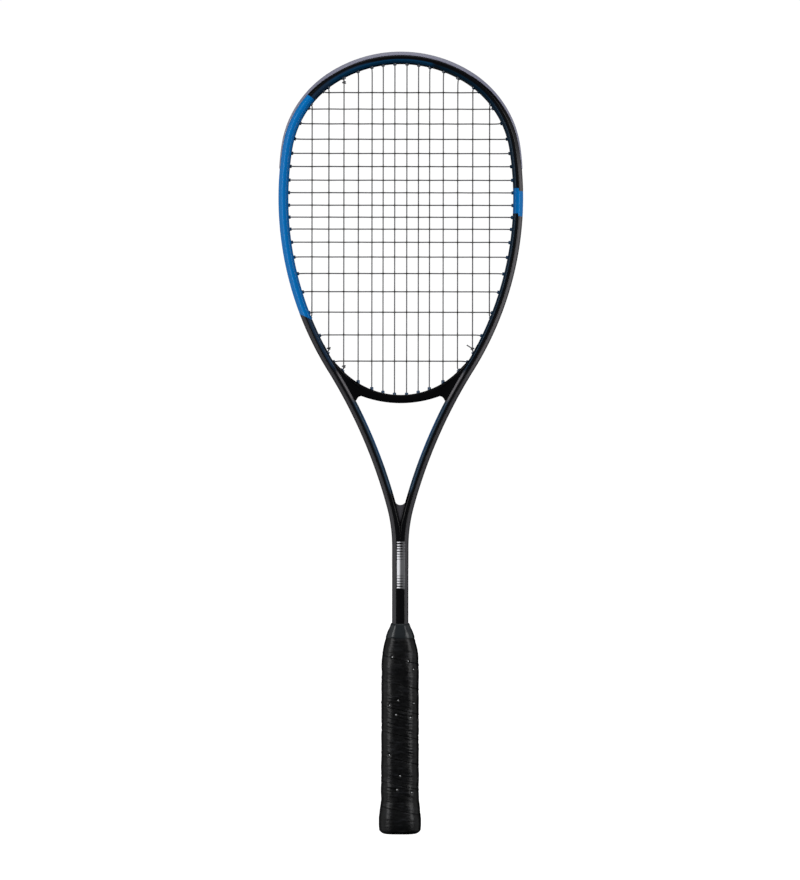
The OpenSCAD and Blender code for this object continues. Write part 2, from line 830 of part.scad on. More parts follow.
// Heights, half widths and half depths down the handle. The same list with more width
// gives the outside of whatever is wrapped on it.
shaft_foot = 12;
cap_lip = 26;
cap_floor = 3;
feather_y = 183;
feather_w = shaft_half + 0.7;
feather_d = beam / 2 + 0.7;
foam_rings = [[cap_floor, foam_w, foam_d],
              [taper_y, foam_w, foam_d],
              [taper_y + 14, foam_w - 1.9, foam_d - 0.9],
              [feather_y, feather_w, feather_d]];
cap_rings = [[0, foam_w + 0.5, foam_d + 0.6],
             [2, foam_w + 2.2, foam_d + 2.1],
             [16, foam_w + 2.1, foam_d + 2],
             [cap_lip, foam_w + 0.5, foam_d + 0.5]];

// An eight-sided bar about Y. Each ring gives a height, a half width and a half depth, and
// the bevels follow from the two.
bevel_share = 0.56;

module slab(turn, rings, half) {
    reach = 60;
    rotate([0, turn, 0]) translate([0, 0, -reach]) linear_extrude(2 * reach)
        polygon(concat([for (i = [0 : len(rings) - 1]) [half[i], rings[i][0]]],
                       [for (i = [len(rings) - 1 : -1 : 0]) [-half[i], rings[i][0]]]));
}

module eight_sided(rings) {
    width = [for (r = rings) r[1]];
    depth = [for (r = rings) r[2]];
    bevel = [for (r = rings) bevel_share * (r[1] + r[2])];
    intersection() {
        slab(0, rings, width);
        slab(90, rings, depth);
        slab(45, rings, bevel);
        slab(-45, rings, bevel);
    }
}

module handle_foam() {
    color("#c9c4b4") upright() difference() {
        eight_sided(foam_rings);
        along_y(shaft_foot, feather_y + 1) shaft_section();
        staples();
        tack();
    }
}

module butt_cap() {
    recess_r = 7;
    recess = 0.6;
    color("#15171a") upright() difference() {
        eight_sided(cap_rings);
        along_y(cap_floor, cap_lip + 1) foam_outline();
        along_y(-1, recess) circle(recess_r, $fn = 64);
        staples();
        tack();
    }
}

// The foam's own eight-sided outline.
module foam_outline() {
    w = foam_w;
    d = foam_d;
    b = bevel_share * (w + d) * sqrt(2);
    polygon([[w, b - w], [b - d, d], [d - b, d], [-w, b - w],
             [-w, w - b], [d - b, -d], [b - d, -d], [w, w - b]]);
}

// Two staples pin the cap to the foam, one through each face.
staple_wire = 1;
staple_w = 10;
staple_leg = 3;
staple_y = 22;

module staples() {
    face = foam_d + 0.4;
    for (side = [0, 180])
        rotate([0, side, 0]) {
            translate([-staple_w / 2, staple_y - staple_wire / 2, face - staple_wire])
                cube([staple_w, staple_wire, staple_wire]);
            for (x = [-staple_w / 2, staple_w / 2 - staple_wire])
                translate([x, staple_y - staple_wire / 2, face - staple_leg])
                    cube([staple_wire, staple_wire, staple_leg]);
        }
}

module cap_staples() {
    color("silver") upright() staples();
}

// A tack holds the start of the grip on the back of the butt.
module tack() {
    tack_y = 9;
    head_r = 2.2;
    head_t = 0.7;
    shank_r = 0.6;
    shank_l = 4;
    face = foam_d + 2.6;
    translate([0, tack_y, -face]) {
        cylinder(h = shank_l, r = shank_r, $fn = round_fn);
        translate([0, 0, 0.1 - head_t]) cylinder(h = head_t, r = head_r, $fn = round_fn);
    }
}

module grip_tack() {
    color("silver") upright() tack();
}

// How far the outside of the grip stands out from the straight part of the foam, by
// height: the flared butt, the straight grip and the taper into the shaft.
grip_profile = [[1, 2.4], [4, 3.6], [14, 3.8], [22, 2.9], [flare_y, grip_t + 0.4],
                [taper_y - 4, grip_t + 0.2], [taper_y + 4, grip_t - 0.3], [161, 0.3],
                [168, -1.5], [175, -3.1], [grip_top, -3.7]];
first_seam = 20;
seam_step = 0.3;

function grip_ring(y, more = 0) =
    let (out = lookup(y, grip_profile))
    [y, foam_w + out + more, foam_d + (out > 0 ? out : 0.35 * out) + more];

// Each turn laps over the one below it, so every seam is a small step.
grip_rings = concat(
    [for (y = [1, 4, 14]) grip_ring(y)],
    [for (y = [first_seam : grip_pitch : grip_top - 8])
        each [grip_ring(y - 0.4), grip_ring(y + 0.4, seam_step), grip_ring(y + grip_pitch / 2)]],
    [grip_ring(grip_top)]);

module grip() {
    color("#1c1d20") upright() difference() {
        eight_sided(grip_rings);
        eight_sided(foam_rings);
        eight_sided(cap_rings);
        tack();
    }
}

tape_low = 172.5;
tape_top = feather_y + 1.2;
tape_t = 0.5;
tape_rings = [grip_ring(tape_low, tape_t),
              grip_ring(grip_top, tape_t),
              [grip_top + 0.6, foam_w - 4.2, foam_d - 1.2],
              [tape_top, shaft_half + 0.8, beam / 2 + 0.8]];

module finishing_tape() {
    color("#101114") upright() difference() {
        eight_sided(tape_rings);
        eight_sided(grip_rings);
        eight_sided(foam_rings);
        along_y(shaft_foot, tape_top + 1) shaft_section();
    }
}

frame();
throat_bridge();
bridge_core();
head_guard();
grommet_strip_left();
grommet_strip_right();
throat_grommet_strip();
main_string();
cross_string();
handle_foam();
butt_cap();
cap_staples();
grip();
grip_tack();
finishing_tape();
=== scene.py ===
"""Looks of the squash racket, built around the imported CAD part.

Shapes are worked out in millimetres on the racket lying flat: x across the head, y up from
the butt and z through the beam, with +z the front. world() stands them up, in metres. The
strings, grommets, frame and guard all follow one chain of arcs, the hoop's outer face.
"""

import math

import bmesh
import bpy
import numpy as np
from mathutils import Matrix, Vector, noise

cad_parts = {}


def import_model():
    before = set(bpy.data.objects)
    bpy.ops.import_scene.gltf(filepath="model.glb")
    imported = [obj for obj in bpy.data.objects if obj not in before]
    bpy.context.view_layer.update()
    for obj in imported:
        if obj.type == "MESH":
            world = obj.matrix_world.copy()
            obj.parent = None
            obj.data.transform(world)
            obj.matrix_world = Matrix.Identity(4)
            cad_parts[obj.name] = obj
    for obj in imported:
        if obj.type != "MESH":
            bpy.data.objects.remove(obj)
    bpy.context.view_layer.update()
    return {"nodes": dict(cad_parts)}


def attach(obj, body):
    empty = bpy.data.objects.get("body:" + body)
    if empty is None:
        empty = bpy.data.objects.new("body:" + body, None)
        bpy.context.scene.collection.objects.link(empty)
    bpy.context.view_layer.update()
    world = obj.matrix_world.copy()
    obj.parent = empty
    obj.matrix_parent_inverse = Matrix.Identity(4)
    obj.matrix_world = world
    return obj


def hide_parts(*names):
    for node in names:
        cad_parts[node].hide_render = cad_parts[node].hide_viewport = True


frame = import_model()

MM = 0.001

# ---- Sizes, in millimetres and degrees ----

RACKET_L = 686

# The tube's section: its faces, bevels and string groove
BEAM = 18.5
TUBE_T = 8.4
SHAFT_HALF = 7.2
OUTER_BEVEL = 3.1
INNER_BEVEL = 1.6
SIDE_FLAT = 5.5
INNER_FLAT = 6.6
FACE_CROWN = 0.2
GROOVE_DEPTH = 2.6
GROOVE_FLOOR = 2.6
GROOVE_MOUTH = 3.3
GROOVE_END = 116
BEVEL_FOOT, BEVEL_FADE = 258, 20
SHAFT_FOOT = 150

# The outline from the crown down: radius and angle of each arc, and how far the arms lean
CROWN_R, CROWN_ANGLE = 115.3, 32.5
SHOULDER_R, SHOULDER_ANGLE = 93, 48.5
SIDE_R = 287
ARM_LEAN = 31.9
ARM_R, ARM_ANGLE = 450, 16.6

# The bridge and the throat
BRIDGE_R, BRIDGE_Y = 71, 384.8
BRIDGE_LOW_R, BRIDGE_T, BRIDGE_BEAM = 99, 7.2, 16
BRIDGE_GROOVE = 2.2
BRIDGE_LOW_CENTRE = BRIDGE_Y - BRIDGE_T + BRIDGE_LOW_R
THROAT_Y = 288
CORNER_HOLE_Y = 397

# Strings, by distance from the middle and by height, and their grommets. A shared grommet
# also takes the end of a string beside its main.
STRING_D = 1.1
MAIN_X = [5.3, 15.5, 25.3, 37.3, 50, 63.2, 78]
CROSS_Y = [650.5, 636, 623, 609.5, 597, 585.5, 573.5, 562.5, 551.5,
           541, 530.5, 519, 506, 491.5, 475.5, 457.5, 437.5, 414.5]
BRIDGE_MAINS = 4
SHARED_TOP = (4,)
SHARED_LOW = (4, 5)
GROMMET_OUT = 1.7
BARREL_R, BORE_R = 1.5, 0.85
WIDE_BARREL_R, WIDE_BORE_R = 2.0, 1.4
STRIP_T = 0.9

# The head guard, and how many crosses on each side pass through it
GUARD_T = 1.4
GUARD_CROSSES = 6
GUARD_PAST_HOLE = 2.6
GUARD_LAP, GUARD_LAP_END = 8.0, 6.0
GUARD_LIP, GUARD_LIP_END = GUARD_T - 0.03, 0.35

# Distance between rings of points along the outline
RING_STEP = 1.6


# ---- The outline: a chain of arcs ----

def sin(degrees):
    return math.sin(math.radians(degrees))


def cos(degrees):
    return math.cos(math.radians(degrees))


def clamp(value):
    return max(0.0, min(1.0, value))


def unit(vector):
    return vector / np.linalg.norm(vector)


def place_arcs(chain, x, y, heading):
    """[centre x, centre y, signed radius, first heading, last heading] of each arc.

    A heading turns clockwise from +x, and the outward normal there is (sin, cos).
    """
    arcs = []
    for radius, angle in chain:
        cx, cy = x - radius * sin(heading), y - radius * cos(heading)
        end = heading + math.copysign(angle, radius)
        arcs.append((cx, cy, radius, heading, end))
        x, y, heading = cx + radius * sin(end), cy + radius * cos(end), end
    return arcs, x, y, heading


def outline_arcs():
    """The right half of the hairpin, from the crown down to the top of the shaft."""
    lean = 90 + ARM_LEAN - CROWN_ANGLE - SHOULDER_ANGLE
    chain = [(CROWN_R, CROWN_ANGLE), (SHOULDER_R, SHOULDER_ANGLE),
             (SIDE_R, lean), (-ARM_R, ARM_ANGLE)]
    upper, x, y, heading = place_arcs(chain, 0, RACKET_L - GUARD_T, 0)
    root_r = (x - SHAFT_HALF) / (1 - sin(heading))
    root, _, _, _ = place_arcs([(-root_r, heading - 90)], x, y, heading)
    return upper + root


ARCS = outline_arcs()
SIDE_ARC = ARCS[2]
GUARD_END = math.degrees(math.acos(
    (CROSS_Y[GUARD_CROSSES - 1] - GUARD_PAST_HOLE - SIDE_ARC[1]) / SIDE_R))


def on_arc(arc, heading, depth):
    """The point of the outline at a heading of one arc, some depth inside the outer face."""
    radius = arc[2] - depth
    return np.array([arc[0] + radius * sin(heading), arc[1] + radius * cos(heading)])


def covers(arc, heading):
    slack = 1e-6
    return min(arc[3], arc[4]) - slack <= heading <= max(arc[3], arc[4]) + slack


def at_x(x, depth, lower=False):
    """The arc and heading where the line at that depth passes x."""
    for arc in ARCS:
        s = (abs(x) - arc[0]) / (arc[2] - depth)
        if abs(s) <= 1:
            heading = math.degrees(math.asin(s))
            heading = 180 - heading if lower else heading
            if covers(arc, heading):
                return arc, heading
    raise ValueError(f"the outline doesn't reach x {x}")


def at_y(y, depth):
    """The arc and heading where the line at that depth passes height y."""
    for arc in ARCS:
        c = (y - arc[1]) / (arc[2] - depth)
        if abs(c) <= 1 and covers(arc, math.degrees(math.acos(c))):
            return arc, math.degrees(math.acos(c))
    raise ValueError(f"the outline doesn't reach height {y}")


def hoop_y(x, depth, lower=False):
    arc, heading = at_x(x, depth, lower)
    return on_arc(arc, heading, depth)[1]


def hoop_x(y, depth):
    arc, heading = at_y(y, depth)
    return on_arc(arc, heading, depth)[0]


def bridge_top_y(x):
    return BRIDGE_Y + BRIDGE_R - math.sqrt(BRIDGE_R ** 2 - x * x)


def bridge_low_y(x, depth):
    return BRIDGE_LOW_CENTRE - math.sqrt((BRIDGE_LOW_R - depth) ** 2 - x * x)


def arc_run(arc, heading):
    """Distance along an arc from its start to a heading."""
    return math.radians(abs(heading - arc[3])) * abs(arc[2])


def run_at(arc_number, heading):
    """Distance from the crown to a heading of one arc."""
    before = sum(arc_run(arc, arc[4]) for arc in ARCS[:arc_number])
    return before + arc_run(ARCS[arc_number], heading)


def outline_samples(spacing, first=0, last=math.inf, shaft_foot=None):
    """Rows of (x, y, normal x, normal y, run) down the right half of the outline.

    run is the distance from the crown. Rows before first or after last are left out.
    """
    rows, run = [], 0.0
    for number, arc in enumerate(ARCS):
        length = arc_run(arc, arc[4])
        steps = max(2, round(length / spacing))
        for i in range(0 if number == 0 else 1, steps + 1):
            heading = arc[3] + (arc[4] - arc[3]) * i / steps
            x, y = on_arc(arc, heading, 0)
            rows.append((x, y, sin(heading), cos(heading), run + length * i / steps))
        run += length
    if shaft_foot is not None:
        top = rows[-1][1]
        steps = round((top - shaft_foot) / (2 * spacing))
        for i in range(1, steps + 1):
            drop = (top - shaft_foot) * i / steps
            rows.append((SHAFT_HALF, top - drop, 1.0, 0.0, run + drop))
    return [row for row in rows if first <= row[4] <= last]


# ---- Mesh helpers ----

SHARP_ANGLE = 40


def angles_round(count):
    return [360 * j / count for j in range(count)]


def world(points):
    """Flat millimetres to the part's frame, in metres."""
    p = np.asarray(points, float)
    return np.stack([p[..., 0], -p[..., 2], p[..., 1]], -1) * MM


def bend(a, corner, b, steps):
    """Points of a short curve from a to b that a corner draws towards itself."""
    t = np.arange(steps + 1)[:, None] / steps
    return list((1 - t) ** 2 * a + 2 * t * (1 - t) * corner + t * t * b)


def mirrored(rows):
    """Rows of (depth, z, fillet radius) on the other side of z 0, in backward order."""
    return [(depth, -z, radius) for depth, z, radius in reversed(rows)]


def rounded(corners, segments=4):
    """A closed outline from rows of (a, b, fillet radius), each corner made a short curve."""
    points = []
    count = len(corners)
    for i in range(count):
        before, here, after = (np.array(corners[(i + k) % count][:2], float) for k in (-1, 0, 1))
        radius = corners[i][2]
        u, v = before - here, after - here
        lu, lv = np.linalg.norm(u), np.linalg.norm(v)
        u, v = u / max(lu, 1e-9), v / max(lv, 1e-9)
        half = math.acos(max(-1, min(1, float(u @ v)))) / 2
        cut = min(radius / max(math.tan(half), 1e-6), 0.45 * lu, 0.45 * lv)
        points += bend(here + cut * u, here, here + cut * v, segments)
    return np.array(points)


def swept(samples, section):
    """Rings of a section carried along samples. section(row) gives (depth, z) rows."""
    rings = []
    for row in samples:
        x, y, nx, ny = row[:4]
        outline = section(row)
        rings.append(np.stack([x - outline[:, 0] * nx, y - outline[:, 0] * ny,
                               outline[:, 1]], -1))
    return np.array(rings)


def both_halves(rings):
    """Rings of the right half joined to their mirror image over the crown."""
    left = rings[:0:-1] * np.array([-1, 1, 1])
    return np.concatenate([left, rings])


def ring_faces(count, size, closed=False):
    """Faces between each ring of points and the next, and back to the first if closed."""
    faces = []
    for i in range(count if closed else count - 1):
        a, b = i * size, (i + 1) % count * size
        faces += [(a + j, a + (j + 1) % size, b + (j + 1) % size, b + j) for j in range(size)]
    return faces


def weld_on_axis(work):
    """Opens the wall between two halves that meet on x 0, and joins them along its edge."""
    flush = 1e-7
    walls = [f for f in work.faces if all(abs(v.co.x) < flush for v in f.verts)]
    bmesh.ops.delete(work, geom=walls, context="FACES")
    seam = [v for v in work.verts if abs(v.co.x) < flush]
    bmesh.ops.remove_doubles(work, verts=seam, dist=1e-6)
    loose = [v for v in work.verts if not v.link_faces]
    bmesh.ops.delete(work, geom=loose, context="VERTS")


def turn_outward(work):
    """Makes the faces of each closed part look away from its inside."""
    bmesh.ops.recalc_face_normals(work, faces=work.faces)
    left = set(work.faces)
    while left:
        start = left.pop()
        part, newest = {start}, {start}
        while newest:
            newest = {near for face in newest for edge in face.edges
                      for near in edge.link_faces} - part
            part |= newest
        left -= part
        origin = start.verts[0].co
        volume = sum(face.calc_area() * face.normal.dot(face.calc_center_median() - origin)
                     for face in part)
        if volume < 0:
            bmesh.ops.reverse_faces(work, faces=list(part))


def add_object(name, data):
    made = bpy.data.objects.new(name, data)
    bpy.context.scene.collection.objects.link(made)
    return made


class Shape:
    """Vertices and faces of one piece, gathered from several closed parts.

    across and along are two numbers at each vertex, for the piece's finish to read.
    """

    def __init__(self):
        self.verts, self.faces = [], []
        self.across, self.along = [], []

    def add(self, verts, faces, across=0.0, along=0.0):
        start = len(self.verts)
        self.verts += [tuple(v) for v in verts]
        self.across += np.broadcast_to(across, len(verts)).tolist()
        self.along += np.broadcast_to(along, len(verts)).tolist()
        self.faces += [tuple(start + i for i in f) for f in faces]

    def add_rings(self, rings, across=0.0, along=0.0, closed=False):
        """A tube through rings, with a flat end on each open side."""
        count, size = rings.shape[:2]
        faces = ring_faces(count, size, closed)
        if not closed:
            faces += [tuple(range(size))[::-1],
                      tuple(range((count - 1) * size, count * size))]
        self.add(rings.reshape(-1, 3), faces, across, along)

    def piece(self, name, material, replaced, slot, weld_axis=False):
        mesh = bpy.data.meshes.new(name)
        mesh.from_pydata(world(self.verts).tolist(), [], self.faces)
        for label, values in (("across", self.across), ("along", self.along)):
            layer = mesh.attributes.new(label, "FLOAT", "POINT")
            layer.data.foreach_set("value", values)
        work = bmesh.new()
        work.from_mesh(mesh)
        if weld_axis:
            weld_on_axis(work)
        bmesh.ops.dissolve_degenerate(work, dist=1e-7, edges=work.edges)
        turn_outward(work)
        for face in work.faces:
            face.smooth = True
        for edge in work.edges:
            edge.smooth = edge.calc_face_angle(0) < math.radians(SHARP_ANGLE)
        work.to_mesh(mesh)
        work.free()
        mesh.materials.append(material)
        piece = add_object(name, mesh)
        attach(piece, "root")
        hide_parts(*replaced)


# ---- Material helpers ----

def srgb(r, g, b):
    """A colour given as 0 to 255 values, made linear."""
    return tuple(((c / 255) / 12.92 if c / 255 <= 0.04045
                  else ((c / 255 + 0.055) / 1.055) ** 2.4) for c in (r, g, b)) + (1.0,)


class Nodes:
    """Short ways to make shader nodes. A value is a socket, or a plain number or colour."""

    def __init__(self, tree):
        self.tree = tree

    def feed(self, socket, value):
        if isinstance(value, bpy.types.NodeSocket):
            self.tree.links.new(value, socket)
        else:
            socket.default_value = value

    def node(self, kind, inputs=None, **settings):
        """A new node. Its inputs are keyed by name or number."""
        made = self.tree.nodes.new(kind)
        for key, value in settings.items():
            setattr(made, key, value)
        for key, value in (inputs or {}).items():
            self.feed(made.inputs[key], value)
        return made

    def math(self, operation, a, b=0.0):
        return self.node("ShaderNodeMath", {0: a, 1: b}, operation=operation).outputs[0]

    def all_of(self, first, *others):
        """The product of some shares."""
        for share in others:
            first = self.math("MULTIPLY", first, share)
        return first

    def spot(self, kind="Object"):
        return self.node("ShaderNodeTexCoord").outputs[kind]

    def split(self, vector):
        return self.node("ShaderNodeSeparateXYZ", {0: vector}).outputs[:3]

    def remap(self, value, low, high, to_low=0.0, to_high=1.0, **settings):
        ends = {"Value": value, "From Min": low, "From Max": high,
                "To Min": to_low, "To Max": to_high}
        return self.node("ShaderNodeMapRange", ends, **settings).outputs[0]

    def rise(self, value, low, high, reach=1.0):
        """0 below low, growing softly to reach at high."""
        return self.remap(value, low, high, 0.0, reach, interpolation_type="SMOOTHSTEP")

    def above(self, value, edge, soft):
        """0 where value is below edge, 1 where it is above, over a soft step."""
        return self.rise(value, edge - soft, edge + soft)

    def below(self, value, edge, soft):
        return self.math("SUBTRACT", 1.0, self.above(value, edge, soft))

    def between(self, value, low, high, soft):
        return self.all_of(self.above(value, low, soft), self.below(value, high, soft))


class Finish(Nodes):
    """A material under construction. fixed are sockets of its shader that never vary."""

    def __init__(self, name, **fixed):
        self.material = bpy.data.materials.new(name)
        self.material.use_nodes = True
        super().__init__(self.material.node_tree)
        self.shader = self.tree.nodes["Principled BSDF"]
        for socket, value in fixed.items():
            self.shader.inputs[socket.replace("_", " ")].default_value = value

    def mix(self, share, a, b):
        """Colour a at share 0, b at share 1."""
        return self.node("ShaderNodeMix", {0: share, 6: a, 7: b}, data_type="RGBA").outputs[2]

    def value(self, name):
        """A number that the piece's vertices carry."""
        return self.node("ShaderNodeAttribute", attribute_name=name).outputs["Fac"]

    def noise(self, scale, detail=3.0, rough=0.55, **more):
        inputs = {"Scale": scale, "Detail": detail, "Roughness": rough, **more}
        return self.node("ShaderNodeTexNoise", inputs).outputs["Fac"]

    def bump(self, height, distance, strength, **more):
        inputs = {"Height": height, "Distance": distance, "Strength": strength, **more}
        return self.node("ShaderNodeBump", inputs).outputs["Normal"]

    def finish(self, colour, roughness=None, normal=None):
        for socket, value in (("Base Color", colour), ("Roughness", roughness),
                              ("Normal", normal)):
            if value is not None:
                self.feed(self.shader.inputs[socket], value)
        return self.material


BLUE = srgb(0, 112, 184)
SHADED_BLUE = srgb(0, 95, 162)
CROWN_BLUE = srgb(8, 50, 80)
TEAL = srgb(5, 32, 50)
ARM_TEAL = srgb(36, 56, 74)
NAVY = srgb(24, 42, 62)
BLACK = srgb(5, 5, 7)
CARBON = srgb(12, 12, 14)
GRAPHITE = srgb(60, 59, 63)
# pale graphite: painted highlight up the hoop's right side, and painted reflection beside the
# bridge
PAINTED_GRAPHITE_HIGHLIGHT = srgb(96, 94, 97)
SILVER = srgb(226, 227, 232)

# Where the frame's blue blocks and silver band lie, in metres
BLOCK_Z = (0.4555, 0.6485)
PATCH_Z = (0.5415, 0.5635)
BAND_Z = (0.2146, 0.2562)
BAND_X = (-0.0029, 0.0042)


def edge_tints(f, x, z, depth):
    """Share and colour of the dark tints along the tube's inner edge, and of a painted reflection
    in pale graphite on it beside the bridge.
    """
    inner_edge = f.above(depth, 5.7, 0.6)
    right_hoop = f.all_of(f.above(z, 0.4, 0.012), f.above(x, 0.03, 0.01))
    left_hoop = f.all_of(f.above(z, 0.408, 0.004), f.below(x, -0.03, 0.01))
    arms, beside_bridge = f.between(z, 0.3, 0.38, 0.004), f.between(z, 0.38, 0.404, 0.004)
    return [(f.all_of(f.above(depth, 6.2, 0.9), right_hoop), TEAL),
            (f.all_of(inner_edge, arms), ARM_TEAL),
            (f.all_of(f.above(depth, 4.8, 0.8), left_hoop), NAVY),
            # painted reflection: pale graphite on the arms' inner edge beside the bridge
            (f.all_of(inner_edge, beside_bridge), PAINTED_GRAPHITE_HIGHLIGHT)]


def bevel_tint(f, x, z, depth):
    """Share and colour of the graphite on the outer bevel. The graphite is paint that also stands
    in for the bevel's reflection, and it is paler up the hoop's right side as a painted highlight,
    where light falls from the right.
    """
    # graphite paint, partly standing in for the bevel's reflection
    bevel = f.all_of(f.between(depth, 0.8, 2.9, 0.7), f.below(z, 0.6, 0.03))
    # painted highlight: paler graphite up the hoop's right side
    painted_right_highlight = f.all_of(f.above(x, 0.05, 0.02), f.between(z, 0.4, 0.59, 0.02))
    return bevel, f.mix(painted_right_highlight, GRAPHITE, PAINTED_GRAPHITE_HIGHLIGHT)


def blue_tints(f, x, z, depth):
    """Share and colour of the side blocks, the crown's edge and the inside of the throat."""
    slanted = f.math("ADD", z, f.math("MULTIPLY", depth, 0.0006))
    block = f.all_of(f.below(x, 0.0, 0.002), f.between(slanted, *BLOCK_Z, 0.0003))
    stepped = f.math("SUBTRACT", z, f.math("MULTIPLY", f.above(depth, 3.9, 0.2), 0.0025))
    patch = f.all_of(f.above(x, 0.0, 0.002), f.between(stepped, *PATCH_Z, 0.0004))
    blue = f.mix(f.above(depth, 4.4, 0.6), BLUE, SHADED_BLUE)
    crown = f.all_of(f.between(x, -0.062, 0.028, 0.003), f.above(z, 0.64, 0.004),
                     f.above(depth, 5.7, 0.5))
    throat = f.all_of(f.between(z, 0.327, 0.367, 0.008),
                      f.math("LESS_THAN", f.math("ABSOLUTE", x), 0.042),
                      f.remap(depth, 7.5, 8.0, 0.0, 0.7))
    return [(f.math("MAXIMUM", block, patch), blue), (crown, CROWN_BLUE),
            (throat, SHADED_BLUE)]


def printed_ticks_and_painted_sheen(f, x, y, z):
    """How silver the front of the shaft is: a panel between two rows of ticks.

    The gaps between ticks widen away from the panel, and all of it fades to the right. A faint
    silver bar right of the middle, down the whole band, is a painted sheen.
    """
    middle, panel_half, pitch, first_gap = 0.2334, 0.007, 0.0023, 0.1
    away = f.math("ABSOLUTE", f.math("SUBTRACT", z, middle))
    away = f.math("SUBTRACT", away, panel_half)
    phase = f.math("FRACT", f.math("SUBTRACT", f.math("DIVIDE", away, pitch), first_gap))
    off_centre = f.math("ABSOLUTE", f.math("SUBTRACT", phase, 0.5))
    half_tick = f.remap(away, 0.0, 0.015, 0.42, 0.2)
    tick = f.above(f.math("SUBTRACT", half_tick, off_centre), 0.0, 0.06)
    printed = f.math("MAXIMUM", tick, f.math("LESS_THAN", away, 0.0))
    fading = f.math("MAXIMUM", f.below(x, -0.0003, 0.0012), 0.13)
    # painted sheen: a faint silver bar down the band, right of the middle
    sheen = f.math("MULTIPLY", f.between(x, 0.0022, 0.0040, 0.0008), 0.1)
    shade = f.math("MAXIMUM", f.math("MULTIPLY", printed, fading), sheen)
    front = f.below(y, -0.0085, 0.0002)
    return f.all_of(f.between(z, *BAND_Z, 0.0002), f.between(x, *BAND_X, 0.0002), shade, front)


def frame_paint():
    """Satin black carbon with a graphite outer bevel, blue blocks and a band of ticks, and painted
    highlights: the bevel's graphite in part, paler up the hoop's right side, a pale strip beside
    the bridge and a sheen bar by the ticks.

    depth is how far inside the tube's outer face a point lies, in millimetres.
    """
    f = Finish("frame_paint", Specular_IOR_Level=0.2)
    x, y, z = f.split(f.spot())
    depth = f.value("across")
    grain = f.noise(700.0, 5.0)
    cloth = f.noise(2600.0, 1.0)
    colour = f.mix(f.remap(grain, 0.35, 0.7), BLACK, CARBON)
    tints = edge_tints(f, x, z, depth) + [bevel_tint(f, x, z, depth)]
    tints += blue_tints(f, x, z, depth) + [(printed_ticks_and_painted_sheen(f, x, y, z), SILVER)]
    for share, tint in tints:
        colour = f.mix(share, colour, tint)
    roughness = f.remap(grain, 0.3, 0.7, 0.2, 0.28)
    return f.finish(colour, roughness, f.bump(cloth, 0.00001, 0.25))


def plain(name, colour, rough, dark=0.8, scale=600.0, depth=0.00003, **fixed):
    """A moulded or cast surface with a fine mottle in its colour, gloss and relief."""
    f = Finish(name, **fixed)
    mottle = f.noise(scale, 4.0)
    low = tuple(c * dark for c in colour[:3]) + (1.0,)
    tint = f.mix(f.remap(mottle, 0.3, 0.7), low, colour)
    return f.finish(tint, f.remap(mottle, 0.3, 0.7, rough * 0.88, rough * 1.12),
                    f.bump(mottle, depth, 0.4))


def guard_finish():
    """Grey moulded rim, with its grommets' tubes in dark blue."""
    f = Finish("guard_moulded", Coat_Weight=0.2, Coat_Roughness=0.15)
    mottle = f.noise(600.0, 4.0)
    rim = f.mix(f.remap(mottle, 0.3, 0.7), srgb(122, 123, 141), srgb(132, 133, 152))
    colour = f.mix(f.value("across"), rim, srgb(6, 36, 58))
    return f.finish(colour, f.remap(mottle, 0.3, 0.7, 0.23, 0.3), f.bump(mottle, 0.00003, 0.4))


# ---- The frame ----

def tube_section(row):
    """The tube's outline as (depth, z) rows, from rows of (depth, z, fillet radius).

    In the shaft the two halves lie flat against each other on the axis. The inner bevel
    fades out above it, and the groove ends in the arms.
    """
    x, y, nx, _, run = row
    thick = min(TUBE_T, x / nx) if nx > 0.5 else TUBE_T
    fade = clamp((y - BEVEL_FOOT) / BEVEL_FADE)
    bevel = INNER_BEVEL * fade
    half = BEAM / 2
    inner = INNER_FLAT + (half - INNER_FLAT) * (1 - fade)
    groove = GROOVE_DEPTH * clamp((run_at(3, GROOVE_END) - run) / 4 + 1)
    crest = OUTER_BEVEL + (thick - OUTER_BEVEL) * (1 - 0.45 * fade)
    right = [(0, GROOVE_MOUTH, 0.3), (0, SIDE_FLAT, 1.2), (OUTER_BEVEL, half - FACE_CROWN, 1.3),
             (min(crest, thick - bevel - 0.05), half, 1.5),
             (thick - bevel, half - 0.6 * FACE_CROWN * fade, 0.7 * fade),
             (thick, inner, 1.6 * fade)]
    floor = [(groove, -GROOVE_FLOOR, 0.3), (groove, GROOVE_FLOOR, 0.3)]
    return rounded(right + mirrored(right) + floor)


def hairpin():
    """Rings of the whole tube, and the depth inside the outer face of each of their points."""
    rows = outline_samples(RING_STEP, shaft_foot=SHAFT_FOOT)
    depths = np.array([tube_section(row)[:, 0] for row in rows])
    both_depths = np.concatenate([depths[:0:-1], depths])
    return both_halves(swept(rows, tube_section)), both_depths.ravel()


